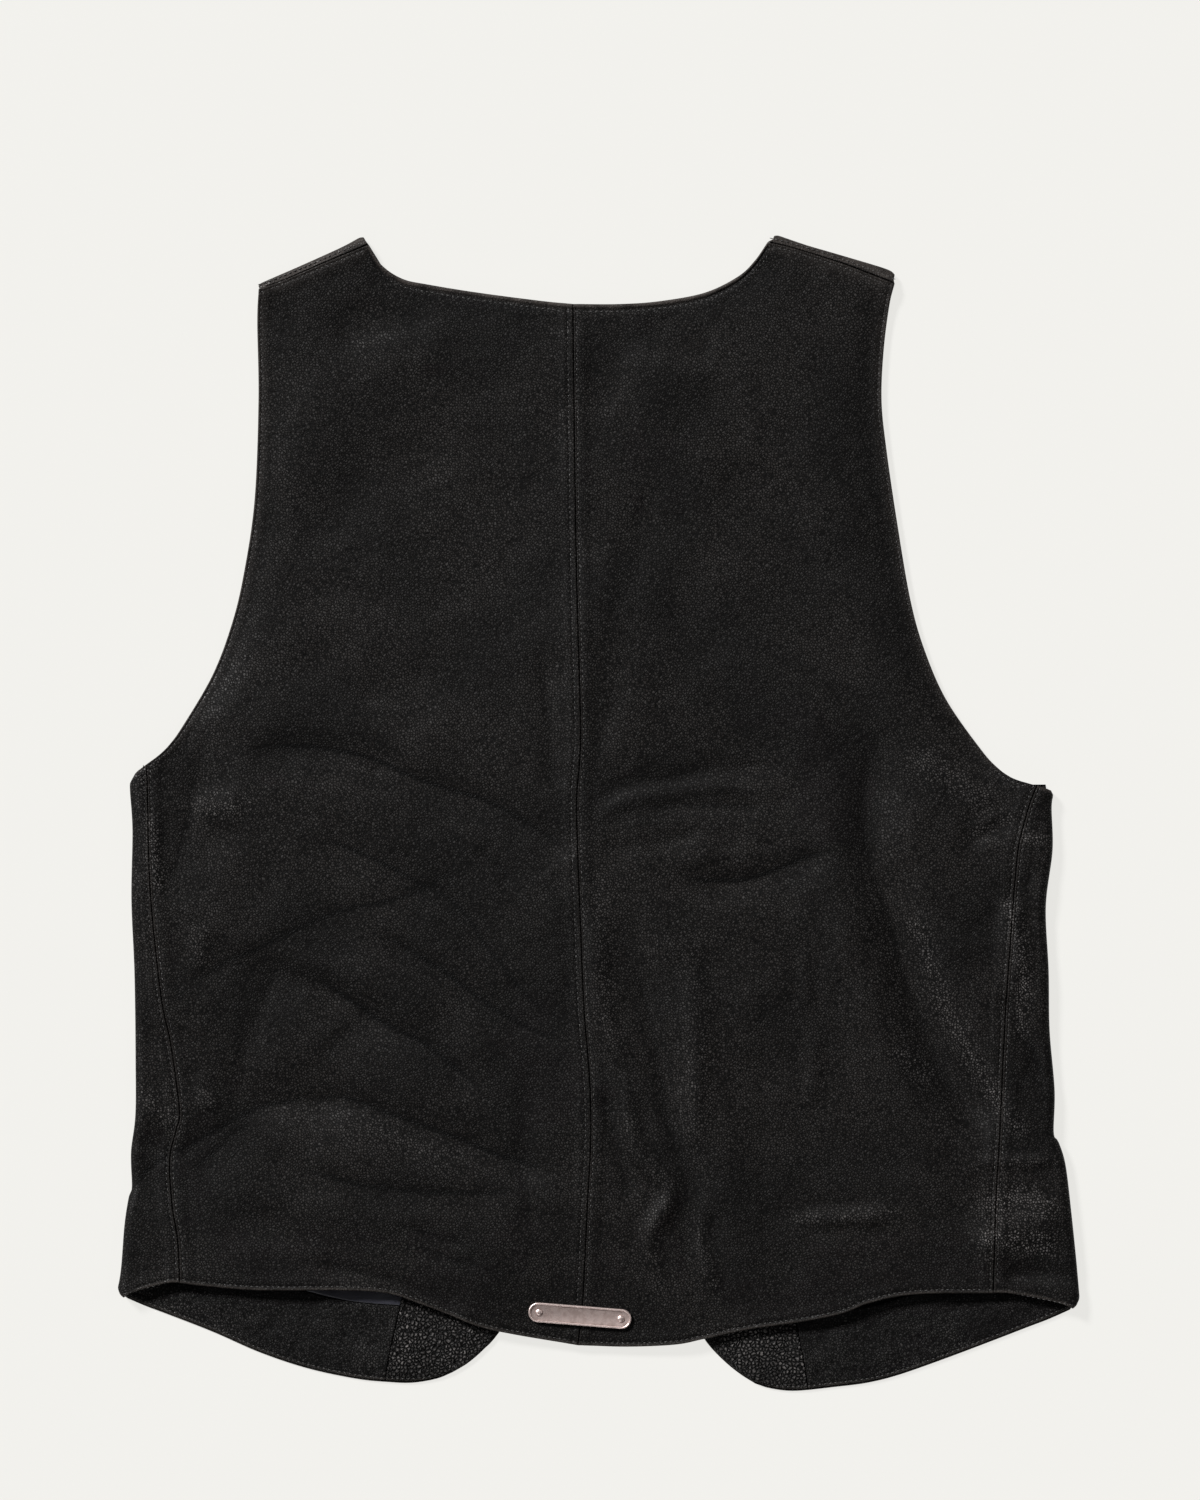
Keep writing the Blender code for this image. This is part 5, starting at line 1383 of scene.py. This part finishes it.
for end, end_name in ((-1, "left"), (1, "right")):
    middle = np.array([end * (PLATE_LENGTH / 2 - RIVET_FROM_END), 0.0])
    rings = [on_plate(middle + RIVET_RADIUS * rivet_circle, np.full(32, PLATE_THICK - 0.6))]
    rings += [on_plate(middle + RIVET_RADIUS * np.cos(a) * rivet_circle,
                       np.full(32, PLATE_THICK - 0.2 + 1.0 * np.sin(a))) for a in dome]
    rivet = ringed(f"plate_rivet_{end_name}", np.stack(rings), [1.0] + [0.6 - 0.5 * np.sin(a) for a in dome])
    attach(rivet, "root")


# The studio: a plain pale table under the vest, soft daylight from the upper left of the picture,
# and a camera straight over it. The table is not part of the vest.
TABLE = 3.0
CAMERA_AT = (1.0, 36.4)
CAMERA_HEIGHT = 3500.0
TOP_LAYER = 8.0
FRAME_HEIGHT = 870.0
SENSOR_HEIGHT = 24.0
# Sun: strength, its softness in degrees, angle from straight up, direction it comes from (0 is +X, 90 is +Y)
SUNS = [(7.9, 12.0, 54.0, 135.0), (0.4, 30.0, 50.0, 15.0), (0.5, 30.0, 56.0, 255.0)]
WORLD = 0.07

table_mesh = bpy.data.meshes.new("table")
corner = TABLE / 2
table_mesh.from_pydata([(-corner, -corner, -0.0003), (corner, -corner, -0.0003), (corner, corner, -0.0003),
                        (-corner, corner, -0.0003)], [], [(0, 1, 2, 3)])
pale = bpy.data.materials.new("table_paper")
pale.use_nodes = True
pale_shader = pale.node_tree.nodes["Principled BSDF"]
paper = add(pale.node_tree, "ShaderNodeTexNoise", {"Scale": 40.0, "Detail": 3.0})
pale.node_tree.links.new(blended(pale.node_tree, paper.outputs["Fac"], (0.060, 0.0595, 0.0575, 1.0),
                                 (0.063, 0.0625, 0.060, 1.0)), pale_shader.inputs["Base Color"])
pale_shader.inputs["Roughness"].default_value = 0.9
pale_shader.inputs["Specular IOR Level"].default_value = 0.1
pale_shader.inputs["Emission Color"].default_value = (1.0, 0.990, 0.952, 1.0)
pale_shader.inputs["Emission Strength"].default_value = 0.778
table_mesh.materials.append(pale)
table = bpy.data.objects.new("table", table_mesh)
bpy.context.scene.collection.objects.link(table)

for number, (strength, softness, tilt, bearing) in enumerate(SUNS, 1):
    sun = bpy.data.lights.new(f"window_{number}", "SUN")
    sun.energy = strength
    sun.angle = np.radians(softness)
    lamp = bpy.data.objects.new(f"window_{number}", sun)
    lamp.rotation_euler = (0.0, np.radians(tilt), np.radians(bearing))
    bpy.context.scene.collection.objects.link(lamp)

world = bpy.data.worlds.new("studio")
world.use_nodes = True
world.node_tree.nodes["Background"].inputs["Color"].default_value = (1.0, 0.995, 0.98, 1.0)
world.node_tree.nodes["Background"].inputs["Strength"].default_value = WORLD
bpy.context.scene.world = world

camera_data = bpy.data.cameras.new("camera")
camera_data.sensor_fit = "VERTICAL"
camera_data.sensor_height = SENSOR_HEIGHT
camera_data.lens = SENSOR_HEIGHT * CAMERA_HEIGHT / FRAME_HEIGHT
camera_data.clip_end = 20.0
camera = bpy.data.objects.new("camera", camera_data)
camera.location = (CAMERA_AT[0] / 1000, CAMERA_AT[1] / 1000, (CAMERA_HEIGHT + TOP_LAYER) / 1000)
bpy.context.scene.collection.objects.link(camera)
bpy.context.scene.camera = camera
bpy.context.scene.view_settings.view_transform = "Standard"
